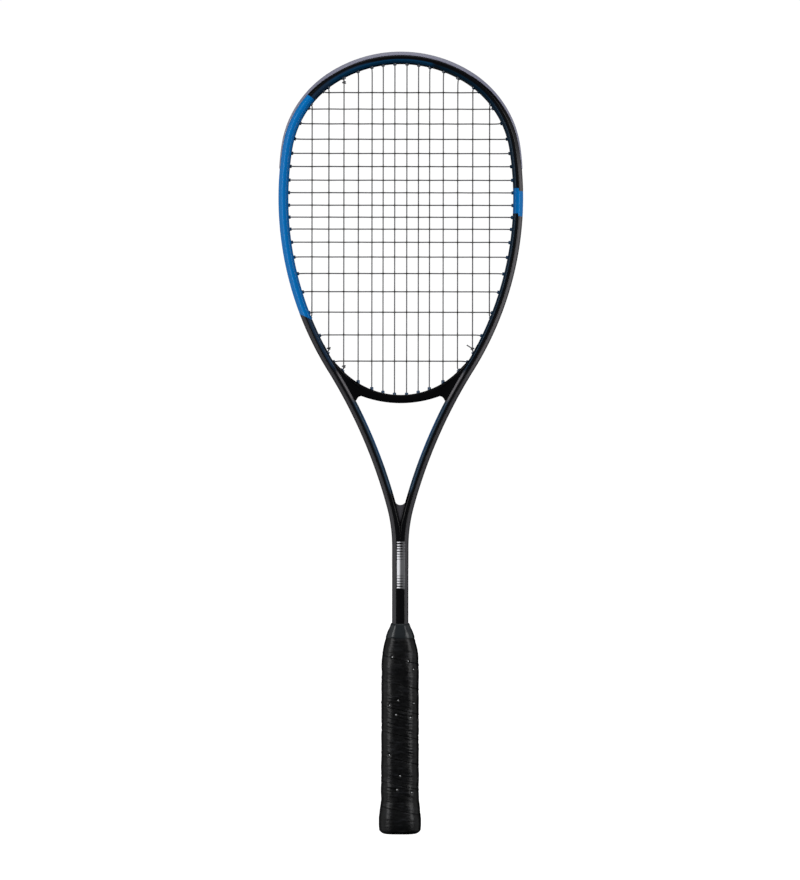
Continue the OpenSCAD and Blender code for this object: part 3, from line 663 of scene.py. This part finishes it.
def plate(top, bottom, half, edge, groove=None):
    """A closed plate between two curves of equal length, with rounded front and back edges.

    Its rim is level with the curves in the middle. groove cuts a channel in the bottom one.
    """
    loop = np.array(list(top) + list(bottom)[::-1])
    count = len(top)
    after, before = np.roll(loop, -1, 0), np.roll(loop, 1, 0)
    way = after - before
    way /= np.linalg.norm(way, axis=1)[:, None]
    inward = np.stack([way[:, 1], -way[:, 0]], -1)
    area = np.sum(loop[:, 0] * after[:, 1] - after[:, 0] * loop[:, 1])
    inward = inward if area < 0 else -inward
    levels = [(half, edge)]
    levels += [(half - edge * (1 - cos(a)), edge * (1 - sin(a))) for a in (22, 45, 68, 90)]
    profile = levels + ([(GROOVE_MOUTH, 0.0), (GROOVE_FLOOR, groove)] if groove else [])
    profile = profile + [(-z, inset) for z, inset in reversed(profile)]
    size = 2 * count
    whole, bottom_only = np.ones(size), np.repeat([0.0, 1.0], count)
    rings = []
    for z, inset in profile:
        share = bottom_only if groove and abs(z) <= GROOVE_MOUTH else whole
        flat = loop + inward * (inset * share)[:, None]
        rings.append(np.column_stack([flat, np.full(size, z)]))
    faces = ring_faces(len(rings), size)
    last = (len(rings) - 1) * size
    for i in range(count - 1):
        quad = (i, i + 1, size - 2 - i, size - 1 - i)
        faces += [quad, tuple(last + k for k in reversed(quad))]
    return np.concatenate(rings), faces


def build_frame(material):
    """The hairpin tube, and the insert that rounds off the bottom of the throat."""
    shape = Shape()
    shape.add_rings(*hairpin())
    arc_r, arc_reach, half_width, tall = 5.2, 4.9, 6.0, 26
    inset, edge, graphite_depth = 0.5, 0.6, 2.0
    xs = np.linspace(-half_width, half_width, 25)
    top = [(x, THROAT_Y + arc_r - math.sqrt(arc_r ** 2 - min(abs(x), arc_reach) ** 2))
           for x in xs]
    bottom = [(x, THROAT_Y - tall) for x in xs]
    verts, faces = plate(top, bottom, INNER_FLAT - inset, edge)
    shape.add(verts, faces, graphite_depth)
    shape.piece("frame_tube", material, ["frame"], "frame_black", weld_axis=True)


def build_bridge(material):
    """The bridge between the arms. Its top melts into the hoop's inner face at both ends."""
    end_angle, melt_from, melt = 68, 48, 3.1
    low_reach, fillet, corner_x = 43.0, 4.4, 34.4
    low_end = (44.0, 378.0)
    top, bottom = [], []
    for share in np.linspace(-1, 1, 81):
        angle = end_angle * share
        gone = clamp((abs(angle) - melt_from) / (end_angle - melt_from))
        reach = BRIDGE_R + melt * gone * gone * (3 - 2 * gone)
        top.append((reach * sin(angle), BRIDGE_Y + BRIDGE_R - reach * cos(angle)))
        x = low_reach * share
        past = clamp((abs(x) - corner_x) / fillet)
        drop = fillet * (1 - math.sqrt(1 - past * past))
        bottom.append((x, bridge_low_y(min(abs(x), corner_x), 0) - drop))
    bottom[0], bottom[-1] = (-low_end[0], low_end[1]), low_end
    verts, faces = plate(top, bottom, BRIDGE_BEAM / 2, 1.8, BRIDGE_GROOVE)
    shape = Shape()
    shape.add(verts, faces)
    shape.piece("bridge_shell", material, ["throat_bridge"], "bridge_black")


# ---- Guard, grommets and strings ----

def guard_section_at(lip, lap):
    """The guard lines the groove and laps over the outer bevel down to a thin edge."""
    slope = OUTER_BEVEL / (BEAM / 2 - SIDE_FLAT)
    edge = (slope * (lap - SIDE_FLAT), lap)
    skin = 0.25 * lip
    half = [(-lip, 1.2, 0.2), (-lip, SIDE_FLAT, 1.3), (edge[0] - skin, edge[1] + skin, 0.1),
            (edge[0] + 0.05, edge[1] - 0.05, 0.05), (0.0, SIDE_FLAT, 0.4)]
    inner = [(0.0, GROOVE_MOUTH, 0.1), (GROOVE_DEPTH, GROOVE_FLOOR, 0.1)]
    channel = [(1.5, -1.0, 0.3), (1.5, 1.0, 0.3)]
    return rounded(half + inner + mirrored(half + inner) + channel, 3)


def build_guard(material):
    """The head guard. Its lip and its lap over the bevel taper off towards its two ends."""
    lip_taper, lap_taper = 40, 100
    end = run_at(2, GUARD_END)
    rows = outline_samples(RING_STEP, 0, end)

    def section(row):
        left = end - row[4]
        lip = GUARD_LIP_END + (GUARD_LIP - GUARD_LIP_END) * clamp(left / lip_taper) ** 0.5
        lap = GUARD_LAP_END + (GUARD_LAP - GUARD_LAP_END) * clamp(left / lap_taper) ** 3
        return guard_section_at(lip, lap)

    shape = Shape()
    shape.add_rings(both_halves(swept(rows, section)))
    for side in (-1, 1):
        for i in range(len(MAIN_X)):
            add_barrel(shape, top_hole(i), side, i in SHARED_TOP)
        for i in range(GUARD_CROSSES):
            add_barrel(shape, side_hole(i), side)
    shape.piece("head_guard_rim", material, ["head_guard"], "guard_grey")


def hoop_hole(place, way, out=GROMMET_OUT):
    """[where the string turns, tip of the grommet, outer end] of a hole in the hoop."""
    arc, heading = place
    way = np.array(way, float)
    turn = on_arc(arc, heading, TUBE_T) - (out + 1) * way
    axis = unit(np.array([sin(heading), cos(heading)]) + way)
    w = turn - np.array(arc[:2])
    reach = math.copysign(math.sqrt((w @ axis) ** 2 - w @ w + arc[2] ** 2), arc[2]) - w @ axis
    return [turn, turn + axis, turn + reach * axis]


def top_hole(i):
    """A hole by its main, counted from the middle."""
    return hoop_hole(at_x(MAIN_X[i], TUBE_T), (0, 1))


def low_hole(i):
    """The middle mains go through the bridge, and the next one past the bridge's corner."""
    x = MAIN_X[i]
    if i < BRIDGE_MAINS:
        tip = bridge_top_y(x) + GROMMET_OUT + BARREL_R * x / BRIDGE_R
        return [np.array(p) for p in ((x, tip + 1), (x, tip), (x, bridge_low_y(x, 0)))]
    if i == BRIDGE_MAINS:
        arc, heading = at_y(CORNER_HOLE_Y, 0)
        out = on_arc(arc, heading, 0)
        turn = np.array([x, bridge_top_y(x) + GROMMET_OUT + 1])
        return [turn, turn + unit(out - turn), out]
    return hoop_hole(at_x(x, TUBE_T, True), (0, -1))


def side_hole(i):
    """A hole by its cross. Its grommet stands out less where the last main runs close by."""
    arc, heading = at_y(CROSS_Y[i], TUBE_T)
    gap = 0.4
    room = on_arc(arc, heading, TUBE_T)[0] - MAIN_X[-1] - BARREL_R / 2 - gap
    return hoop_hole((arc, heading), (1, 0), min(GROMMET_OUT, room) if room > 0 else GROMMET_OUT)


def add_barrel(shape, hole, side, wide=False):
    """A grommet's tube from inside the frame's wall to its chamfered tip.

    A wide one takes the end of a string beside its main. Across is 1 on all of them.
    """
    radius, bore = (WIDE_BARREL_R, WIDE_BORE_R) if wide else (BARREL_R, BORE_R)
    mirror = np.array([side, 1])
    tip, out = hole[1] * mirror, hole[2] * mirror
    length = np.linalg.norm(tip - out)
    axis = (tip - out) / length
    across = np.array([-axis[1], axis[0]])
    start = 1.7
    profile = [(start, bore), (start, radius), (length - 0.5, radius),
               (length - 0.12, radius - 0.12), (length, radius - 0.35), (length, bore + 0.1),
               (length - 0.3, bore)]
    rings = [[(*(out + axis * distance + across * r * cos(a)), r * sin(a))
              for distance, r in profile] for a in angles_round(20)]
    shape.add_rings(np.array(rings), 1.0, closed=True)


def strip_section(_row):
    edge = [(GROOVE_DEPTH, GROOVE_FLOOR, 0.05), (GROOVE_DEPTH - STRIP_T, GROOVE_FLOOR + 0.2, 0.25)]
    return rounded(edge + mirrored(edge), 2)


def build_strips(material):
    """The two grommet strips down the sides and the one under the bridge."""
    gap = 0.4
    rows = outline_samples(RING_STEP, run_at(2, GUARD_END) + gap, run_at(3, GROOVE_END))
    rings = swept(rows, strip_section)
    for side, name, node in ((-1, "grommets_left", "grommet_strip_left"),
                             (1, "grommets_right", "grommet_strip_right")):
        shape = Shape()
        shape.add_rings(rings * np.array([side, 1, 1]))
        for i in range(BRIDGE_MAINS, len(MAIN_X)):
            add_barrel(shape, low_hole(i), side, i in SHARED_LOW)
        for i in range(GUARD_CROSSES, len(CROSS_Y)):
            add_barrel(shape, side_hole(i), side)
        shape.piece(name, material, [node], "grommet_blue")

    shape = Shape()
    reach = 38
    rows = []
    for x in np.linspace(-reach, reach, 40):
        y = bridge_low_y(x, 0)
        rows.append((x, y, x / BRIDGE_LOW_R, (y - BRIDGE_LOW_CENTRE) / BRIDGE_LOW_R))
    shift = GROOVE_DEPTH - BRIDGE_GROOVE
    shape.add_rings(swept(rows, lambda row: strip_section(row) - np.array([shift, 0])))
    for i in range(BRIDGE_MAINS):
        for side in (-1, 1):
            add_barrel(shape, low_hole(i), side)
    shape.piece("grommets_throat", material, ["throat_grommet_strip"], "grommet_blue")


GAP = 0.05
CROSSING_REACH = 2.5
BESIDE = STRING_D / 2 + GAP
LANE = 2 * BESIDE
STRING_DEPTH = GROOVE_DEPTH - STRIP_T - STRING_D / 2 - GAP
BRIDGE_STRING_DEPTH = BRIDGE_GROOVE - STRIP_T - STRING_D / 2 - GAP
MAINS = [-x for x in reversed(MAIN_X)] + MAIN_X
LAST = len(MAINS) - 1
HALF = len(MAIN_X)
CROSSES = len(CROSS_Y)
MAIN_RISE = 0.42
CROSS_RISE = STRING_D + 0.02 - MAIN_RISE


def over(i, k):
    """1 where cross i passes in front of main k, -1 where it passes behind."""
    return 1 if (i + k) % 2 == 0 else -1


def passing(hole, side, z, depth=STRING_DEPTH):
    """A string's place in the groove outside a hole."""
    x, y = hole[2] + depth * unit(hole[1] - hole[2])
    return (side * x, y, z)


def main_index(k):
    """Main k, counted from the left, counted from the middle instead."""
    return HALF - 1 - k if k < HALF else k - HALF


def main_hole(k, top):
    return top_hole(main_index(k)) if top else low_hole(main_index(k))


def main_side(k):
    return 1 if MAINS[k] > 0 else -1


def aside(k, top):
    """How far main k keeps off the middle of a hole that it shares with a string's end."""
    if k == HALF - 1 - SHARED_TOP[0]:
        return BESIDE
    return -BESIDE if not top and main_index(k) == SHARED_LOW[1] else 0.0


def main_end(k, top):
    in_bridge = not top and main_index(k) < BRIDGE_MAINS
    depth = BRIDGE_STRING_DEPTH if in_bridge else STRING_DEPTH
    return passing(main_hole(k, top), main_side(k), aside(k, top), depth)


def along_main(a, b, top):
    """The point half way between two holes of mains, down in the groove."""
    x, _, z = (np.array(a) + np.array(b)) / 2
    if top or abs(x) > MAIN_X[BRIDGE_MAINS - 1]:
        return (x, hoop_y(x, STRING_DEPTH, not top), z)
    return (x, bridge_low_y(x, BRIDGE_STRING_DEPTH), z)


def along_side(a, b):
    """The point half way between two holes on one side, down in the groove."""
    x, y, z = (np.array(a) + np.array(b)) / 2
    return (math.copysign(hoop_x(y, STRING_DEPTH), x), y, z)


def main_loop(k, top):
    """The loop from main k to the next. The outer loops pass a cross's hole on the way."""
    a, b, side = main_end(k, top), main_end(k + 1, top), main_side(k)
    outer = max(main_index(k), main_index(k + 1))
    if outer != (HALF - 1 if top else HALF - 2):
        return [along_main(a, b, top)]
    c = passing(side_hole(0 if top else CROSSES - 1), side, LANE)
    return [along_main(a, c, top), c, along_main(c, b, top)]


def tie_off(hole, side, up, z, tail):
    """The end of a string goes round the main beside it and stands out."""
    x, y = side * hole[0][0], hole[0][1] + 0.9 * up
    way = 1 if tail[0] > 0 else -1
    r, pitch, turns, steps = LANE + GAP, STRING_D + 0.15, 1.25, 16
    path = [(side * hole[1][0], hole[1][1], z * BESIDE), (x, hole[0][1], z * BESIDE)]
    for i in range(1, int(turns * steps) + 1):
        t = i / steps
        path.append((x + way * r * sin(360 * t), y + up * pitch * t,
                     z * (r * cos(360 * t) - BESIDE)))
    path.append((x + way * r + tail[0], y + up * turns * pitch + tail[1], -z * BESIDE))
    return path


def main_up(k):
    """One main from its lower groove end to its upper one, waving over the crosses."""
    low, top, clear = main_hole(k, False), main_hole(k, True), 1.5
    path = [main_end(k, False), (MAINS[k], low[0][1], aside(k, False))]
    for i in reversed(range(CROSSES)):
        if low[0][1] + clear < CROSS_Y[i] < top[0][1] - clear:
            path.append((MAINS[k], CROSS_Y[i], -MAIN_RISE * over(i, k)))
    return path + [(MAINS[k], top[0][1], aside(k, True)), main_end(k, True)]


def main_tail(side):
    """From the outermost main's lower hole to the knot beside its neighbour."""
    a = main_end(LAST if side > 0 else 0, False)
    c = passing(side_hole(CROSSES - 2), side, LANE)
    knot, tail = low_hole(SHARED_LOW[1]), (-3.8, 2.4) if side > 0 else (0.2, 0.5)
    b = passing(knot, side, BESIDE)
    return [along_side(a, c), c, along_side(c, b), b] + tie_off(knot, side, 1, 1, tail)


def main_path():
    path = main_tail(-1)[::-1]
    for k in range(LAST + 1):
        up = k % 2 == 0
        path += main_up(k) if up else main_up(k)[::-1]
        if k < LAST:
            path += main_loop(k, up)
    return path + main_tail(1)


def cross_run(i):
    """One cross from left to right, over one main and under the next."""
    hole, clear = side_hole(i), 0.8
    reach = hole[0][0]
    path = [passing(hole, -1, 0), (-reach, CROSS_Y[i], 0)]
    path += [(x, CROSS_Y[i], CROSS_RISE * over(i, k))
             for k, x in enumerate(MAINS) if abs(x) < reach - clear]
    return path + [(reach, CROSS_Y[i], 0), passing(hole, 1, 0)]


def cross_loop(i, side):
    """The loop from cross i to the next, in its own lane where it passes a main's hole."""
    a, b = passing(side_hole(i), side, 0), passing(side_hole(i + 1), side, 0)
    passed = {0: (top_hole(HALF - 1), LANE), CROSSES - 3: (low_hole(HALF - 1), LANE),
              CROSSES - 2: (low_hole(HALF - 2), LANE + BESIDE)}
    if i not in passed:
        return [along_side(a, b)]
    c = passing(passed[i][0], side, -passed[i][1])
    return [along_side(a, c), c, along_side(c, b)]


def cross_path():
    first, last = top_hole(SHARED_TOP[0]), low_hole(SHARED_LOW[0])
    b, c = passing(first, -1, -BESIDE), passing(top_hole(SHARED_TOP[0] + 1), -1, -LANE)
    path = tie_off(first, -1, -1, -1, (0.2, -0.5))[::-1]
    path += [b, along_main(b, c, True), c, along_side(c, passing(side_hole(0), -1, 0))]
    for i in range(CROSSES):
        right = i % 2 == 0
        path += cross_run(i) if right else cross_run(i)[::-1]
        if i < CROSSES - 1:
            path += cross_loop(i, 1 if right else -1)
    end = passing(last, -1, -BESIDE)
    path += [along_side(passing(side_hole(CROSSES - 1), -1, 0), end), end]
    return path + tie_off(last, -1, 1, -1, (0.2, 0.4))


def softened(path):
    """Each corner of a path made a short curve, and its long runs a smooth wave."""
    corner_cut, wave_cut, nearly_straight, steps, closest = 1.3, 4.5, 0.94, 4, 0.05
    p = np.array(path, float)
    made = [p[0]]
    for i in range(1, len(p) - 1):
        u, v = p[i - 1] - p[i], p[i + 1] - p[i]
        lu, lv = np.linalg.norm(u), np.linalg.norm(v)
        if abs(u @ v / (lu * lv)) > nearly_straight:
            cu, cv = min(lu * 0.5, wave_cut), min(lv * 0.5, wave_cut)
        else:
            cu, cv = min(corner_cut, lu * 0.45), min(corner_cut, lv * 0.45)
        made += bend(p[i] + u / lu * cu, p[i], p[i] + v / lv * cv, steps)
    made.append(p[-1])
    keep = [made[0]]
    for point in made[1:]:
        if np.linalg.norm(point - keep[-1]) > closest:
            keep.append(point)
    return np.array(keep)


def strand(shape, path, radius, sides=10):
    """A round string along a path, its section carried without twisting.

    Across is how near each point is to a crossing, and along the distance run.
    """
    tangent = np.gradient(path, axis=0)
    tangent /= np.linalg.norm(tangent, axis=1)[:, None]
    side = np.cross(tangent[0], (0, 0, 1.0))
    angles = angles_round(sides)
    rings, near, along, run = [], [], [], 0.0
    for i, point in enumerate(path):
        side = unit(side - tangent[i] * (side @ tangent[i]))
        other = np.cross(tangent[i], side)
        if i:
            run += np.linalg.norm(point - path[i - 1])
        rings.append([point + radius * (cos(a) * side + sin(a) * other) for a in angles])
        away = math.hypot(*(np.abs(np.array(lines) - at).min()
                            for lines, at in ((MAINS, point[0]), (CROSS_Y, point[1]))))
        near += [max(0.0, 1 - away / CROSSING_REACH)] * sides
        along += [run] * sides
    shape.add_rings(np.array(rings), near, along)


def build_strings(material):
    for name, path in (("main_string", main_path()), ("cross_string", cross_path())):
        shape = Shape()
        strand(shape, softened(path), STRING_D / 2)
        shape.piece(name + "_run", material, [name], "string_black")


# ---- Handle ----

def look_up(table, at):
    heights, values = zip(*table)
    return float(np.interp(at, heights, values))


# Half the grip's width and depth, by height
HALF_WIDTH = [(0.0, 17.6), (3.0, 18.4), (7.0, 18.7), (13.6, 18.7), (20.6, 17.8), (28, 16.9),
              (60, 16.6), (147, 16.5), (154, 16.2), (161, 15.4), (168, 13.7), (175, 11.4),
              (177, 10.6)]
HALF_DEPTH = [(0.0, 14.8), (3.0, 15.6), (7.0, 15.9), (13.6, 15.9), (20.6, 15.2), (28, 14.3),
              (147, 14.0), (161, 13.1), (168, 12.1), (175, 11.3), (177, 11.1)]


def half_size(y, out=0.0):
    """Half the grip's width and depth at height y, out further out."""
    return look_up(HALF_WIDTH, y) + out, look_up(HALF_DEPTH, y) + out


GRIP_PITCH = 22.0
GRIP_TOP = 176.5
FIRST_SEAM = 15.5
BEVEL_SHARE = 0.56
GRIP_RADIUS = 15.5
HOLE_REACH = 4.0
# Each perforation: turns along the ribbon, and its share of the way up the ribbon's width.
HOLES = [(0.14, 0.83), (0.28, 0.81), (1.25, 0.39), (2.35, 0.11), (3.15, 0.80), (3.29, 0.78),
         (4.12, 0.39), (4.27, 0.37), (4.35, 0.09), (5.12, 0.74), (6.17, 0.02), (6.33, 0.02)]


def handle_radius(angle, width, depth, power=10):
    """Distance to a rounded eight-sided outline at an angle from +x."""
    sides = ((0, width), (90, depth), (45, BEVEL_SHARE * (width + depth)),
             (135, BEVEL_SHARE * (width + depth)))
    total = sum((abs(cos(angle - way)) / reach) ** power for way, reach in sides)
    return total ** (-1 / power)


def wraps(angle, y):
    """How many widths of the ribbon lie below a point. Seams fall towards the right front."""
    return (y - FIRST_SEAM) / GRIP_PITCH - angle / 360


def perforations():
    """The angle and height of each hole, on the front and half a turn further on."""
    turns = [(along + half_turn, up) for along, up in HOLES for half_turn in (0.0, 0.5)]
    return [(360 * (turn % 1), FIRST_SEAM + GRIP_PITCH * (turn + up)) for turn, up in turns]


def hole_distance(angle, y, holes):
    """Distance along the grip to the nearest perforation, up to HOLE_REACH."""
    nearest = HOLE_REACH
    for hole_angle, hole_y in holes:
        if abs(y - hole_y) < nearest:
            turn = (angle - hole_angle + 180) % 360 - 180
            nearest = min(nearest, math.hypot(math.radians(turn) * GRIP_RADIUS, y - hole_y))
    return nearest


def wrap_relief(angle, y, from_hole):
    """Relief of the wrapped grip: a lapped edge, a soft crown, wrinkles and dimples."""
    phase = wraps(angle, y) % 1.0
    lap = 0.4 * max(0.0, 1 - phase / 0.12) ** 2
    edge = -0.25 * math.exp(-((phase - 0.985) / 0.018) ** 2)
    crown = 0.35 * math.sin(math.pi * phase)
    around = Vector((cos(angle), sin(angle), 0))
    slack = 0.3 * noise.noise(around * 2.2 + Vector((0, 0, y * 0.11)))
    strength = 0.12 + 0.5 * max(0.0, noise.noise(around * 1.3 + Vector((0, 0, y * 0.05))))
    slant = Vector((0, 0, (y - GRIP_PITCH * angle / 360) * 0.7))
    crease = strength * noise.noise(around * 1.8 + slant)
    dimple = -0.6 * math.exp(-(from_hole / 1.1) ** 2)
    return lap + edge + crown + slack + crease + dimple


def handle_ring(y, radii):
    """Points round the handle at height y, at evenly spaced angles from +x."""
    return [(r * cos(a), y, r * sin(a)) for a, r in zip(angles_round(len(radii)), radii)]


def build_grip(material):
    """The wound grip, tucked in at the butt, over a smooth lining."""
    spacing, wall, foot = 0.5, 2.6, 0.25
    angles, holes = angles_round(220), perforations()
    heights = [foot, 0.6, 1.2, 2.0] + list(np.arange(2.6, GRIP_TOP, spacing)) + [GRIP_TOP]
    rings, from_hole = [], []
    for y in heights:
        width, depth = half_size(y)
        tuck = 2.2 * max(0.0, 1 - y / 3.0) ** 2
        wrapped = clamp((y - 12) / 6)
        away = [hole_distance(a, y, holes) for a in angles]
        rings.append(handle_ring(y, [
            handle_radius(a, width - tuck, depth - tuck) + (wrap_relief(a, y, d) - 0.3) * wrapped
            for a, d in zip(angles, away)]))
        from_hole += away
    for y in (GRIP_TOP, 90.0, foot):
        rings.append(handle_ring(y, [handle_radius(a, *half_size(y, -wall)) for a in angles]))
        from_hole += [HOLE_REACH] * len(angles)
    shape = Shape()
    shape.add_rings(np.array(rings), from_hole, closed=True)
    shape.piece("grip_wrap", material, ["grip"], "grip_black")


TAPE_LOW = 171.5
TAPE_TOP = 184.1


def build_tape(material):
    """The tape wound over the grip's top end. Its free end lies as a step on the front."""
    on_grip = [(TAPE_LOW, 0.05), (TAPE_LOW + 0.5, 0.2), (174, 0.25), (176.5, 0.3)]
    outer = [(y, *half_size(y, out)) for y, out in on_grip]
    outer += [(178, 10.4, 11.1), (179.5, 9.6, 10.8), (181, 8.9, 10.6), (182.2, 8.5, 10.6),
              (183, 8.3, 10.4), (TAPE_TOP, 7.8, 9.5)]
    inner = [(TAPE_TOP, 7.0, 9.2), (176, 7.0, 9.2), (TAPE_LOW, 11.0, 10.6)]
    free_end, bow, lapped, step = 62, 56, 300, 0.2
    rings = []
    for index, (y, width, depth) in enumerate(outer + inner):
        power = look_up([(TAPE_LOW, 10), (GRIP_TOP, 14), (TAPE_TOP, 28)], y)
        share = (y - TAPE_LOW) / (TAPE_TOP - TAPE_LOW)
        end_angle = free_end + bow * (share - 0.5) ** 2
        stepped = step if 0 < index < len(outer) - 1 else 0.0
        rings.append(handle_ring(y, [
            handle_radius(a, width, depth, power) + stepped * ((a - end_angle) % 360 < lapped)
            for a in angles_round(160)]))
    shape = Shape()
    shape.add_rings(np.array(rings), closed=True)
    shape.piece("end_tape", material, ["finishing_tape"], "tape_black")


def build_cap(material):
    """The butt cap's face, with a shallow round recess and a raised rim around it.

    The rim's rows are height and share of the cap's outline, the recess's height and radius.
    """
    rim = [(20.0, 0.9), (6.0, 1.0), (0.9, 1.0), (0.25, 0.985), (0.0, 0.95)]
    recess = [(0.0, 7.7), (0.35, 7.28), (0.35, 6.58), (1.0, 6.16), (1.0, 0.28)]
    around, half_width, half_depth = 120, 16.0, 13.4
    full = [handle_radius(a, half_width, half_depth) for a in angles_round(around)]
    rings = [handle_ring(y, [share * r for r in full]) for y, share in rim]
    rings += [handle_ring(y, [r] * around) for y, r in recess]
    shape = Shape()
    shape.add_rings(np.array(rings))
    shape.piece("butt_face", material, ["butt_cap"], "cap_black")


def grip_finish():
    """Tacky polyurethane: fine pores, wrinkles with pale marks of painted highlight on them, and
    in each perforation a dark ring of painted shade around a pale painted highlight.
    """
    f = Finish("grip_polyurethane", Specular_IOR_Level=0.22)
    grain = f.noise(1500.0, 4.0)
    broad = f.noise(90.0, 3.0)
    from_hole = f.value("across")
    colour = f.mix(f.remap(broad, 0.35, 0.7), srgb(2, 2, 3), srgb(6, 7, 8))
    drawn = f.node("ShaderNodeMapping", {"Vector": f.spot(), "Scale": (110, 110, 520)})
    # wrinkle pattern: it gives the relief, and pale marks of painted highlight on the wrinkles
    wrinkles_and_sheen = f.noise(1.0, 3.0, 0.6, Vector=drawn.outputs["Vector"])
    colour = f.mix(f.remap(wrinkles_and_sheen, 0.52, 0.74), colour, srgb(27, 28, 31))
    # painted shade: a dark ring in each perforation, with a painted highlight in its middle
    colour = f.mix(f.below(from_hole, 1.7, 0.2), colour, srgb(1, 1, 1))
    colour = f.mix(f.below(from_hole, 0.5, 0.2), colour, srgb(190, 192, 195))
    roughness = f.remap(f.math("ADD", grain, broad), 0.7, 1.3, 0.28, 0.42)
    wrinkled = f.bump(wrinkles_and_sheen, 0.0005, 0.6)
    return f.finish(colour, roughness, f.bump(grain, 0.00003, 0.5, Normal=wrinkled))


def string_finish():
    """Braided string: fine wound rings, and painted shade darkening it around each crossing."""
    f = Finish("string_black", Coat_Weight=0.1, Coat_Roughness=0.25)
    near, run = f.value("across"), f.value("along")
    winding = f.math("SINE", f.math("MULTIPLY", run, 9.0))
    braid = f.mix(f.remap(winding, -1, 1), srgb(62, 63, 67), srgb(86, 87, 92))
    # painted shade around each crossing
    colour = f.mix(f.remap(near, 0.05, 0.5), braid, srgb(3, 3, 4))
    roughness = f.remap(f.noise(700.0), 0.3, 0.7, 0.4, 0.55)
    return f.finish(colour, roughness, f.bump(winding, 0.00002, 0.4))


def carry_on(name, material):
    """Puts a finish on a CAD node that is kept as it is."""
    node = frame["nodes"][name]
    node.data.materials.clear()
    node.data.materials.append(material)


# ---- Studio ----

def surroundings():
    """What lights the racket from all around: pale aside and above, dark in front.

    The camera itself sees plain white.
    """
    data = bpy.data.worlds.new("studio")
    bpy.context.scene.world = data
    data.use_nodes = True
    n = Nodes(data.node_tree)
    seen = n.tree.nodes["Background"]
    seen.inputs["Color"].default_value = (1, 1, 1, 1)
    seen.inputs["Strength"].default_value = 1.02

    x, y, z = n.split(n.spot("Generated"))
    ahead = n.rise(n.math("MULTIPLY", y, -1.0), -0.55, -0.2)
    aside_glow = n.all_of(n.rise(n.math("ABSOLUTE", x), 0.72, 0.97, 0.9), ahead)
    top_glow = n.rise(z, 0.8, 0.98, 1.2)
    left_glow = n.rise(n.math("MULTIPLY", x, -1.0), -0.02, 0.2, 0.05)
    total = n.math("ADD", n.math("MAXIMUM", aside_glow, top_glow), left_glow)
    lit = n.node("ShaderNodeBackground", {"Strength": total})

    from_camera = n.node("ShaderNodeLightPath").outputs["Is Camera Ray"]
    both = n.node("ShaderNodeMixShader", {0: from_camera, 1: lit.outputs[0], 2: seen.outputs[0]})
    n.feed(n.tree.nodes["World Output"].inputs["Surface"], both.outputs[0])


def softbox(name, place, size, power):
    """A soft rectangular lamp that looks at the middle of the racket."""
    data = bpy.data.lights.new(name, "AREA")
    data.shape = "RECTANGLE"
    data.size, data.size_y = size
    data.energy = power
    data.spread = math.radians(120)
    data.specular_factor = 0.4
    lamp = add_object(name, data)
    lamp.location = place
    way = Vector((0, 0, 0.35)) - lamp.location
    lamp.rotation_euler = way.to_track_quat("-Z", "Y").to_euler()


def build_floor():
    """A pale floor that glows softly. It is only seen, so it neither lights nor mirrors."""
    mesh = bpy.data.meshes.new("floor")
    low, half = -0.35, 14.0
    mesh.from_pydata([(-half, -half, low), (half, -half, low), (half, half, low),
                      (-half, half, low)], [], [(0, 1, 2, 3)])
    floor = add_object("floor", mesh)
    floor.visible_diffuse = False
    floor.visible_glossy = False
    f = Finish("pale_floor", Roughness=0.8, Emission_Color=(1, 1, 1, 1), Emission_Strength=0.95)
    tone = f.mix(f.noise(3.0), (0.86, 0.86, 0.86, 1), (0.9, 0.9, 0.9, 1))
    mesh.materials.append(f.finish(tone))


def build_camera():
    """Level and square to the front, far enough off for the photo's flat perspective."""
    data = bpy.data.cameras.new("camera")
    camera = add_object("camera", data)
    distance, tall, aside_x, aim_z, roll = 2.7, 0.7735, -0.0004, 0.3452, -0.08
    data.sensor_width = 36
    data.lens = 36 * distance / tall
    camera.location = (aside_x, -distance, aim_z)
    camera.rotation_euler = (math.radians(90), math.radians(roll), 0)
    bpy.context.scene.camera = camera


def studio():
    bpy.context.scene.view_settings.view_transform = "Standard"
    surroundings()
    for name, side, power in (("key_left", -1, 14), ("key_right", 1, 13)):
        softbox(name, (side * 1.35, -1.5, 0.7), (0.9, 1.8), power)
    build_floor()
    build_camera()


def main():
    build_frame(frame_paint())
    build_bridge(plain("bridge_satin", srgb(6, 6, 8), 0.24, Specular_IOR_Level=0.2))
    build_guard(guard_finish())
    build_strips(plain("grommet_nylon", srgb(4, 58, 94), 0.35))
    build_strings(string_finish())
    build_grip(grip_finish())
    build_tape(plain("tape_vinyl", srgb(33, 37, 40), 0.28, Specular_IOR_Level=0.3))
    build_cap(plain("cap_rubber", srgb(24, 24, 26), 0.5))
    carry_on("bridge_core", plain("core_foam", srgb(216, 207, 168), 0.9, 0.85, 1800.0, 0.0002))
    carry_on("handle_foam", plain("handle_foam", srgb(200, 196, 180), 0.9, 0.85, 1500.0, 0.0002))
    steel = plain("staple_steel", srgb(190, 190, 194), 0.3, 0.9, 900.0, Metallic=1.0)
    carry_on("cap_staples", steel)
    carry_on("grip_tack", steel)
    studio()


main()
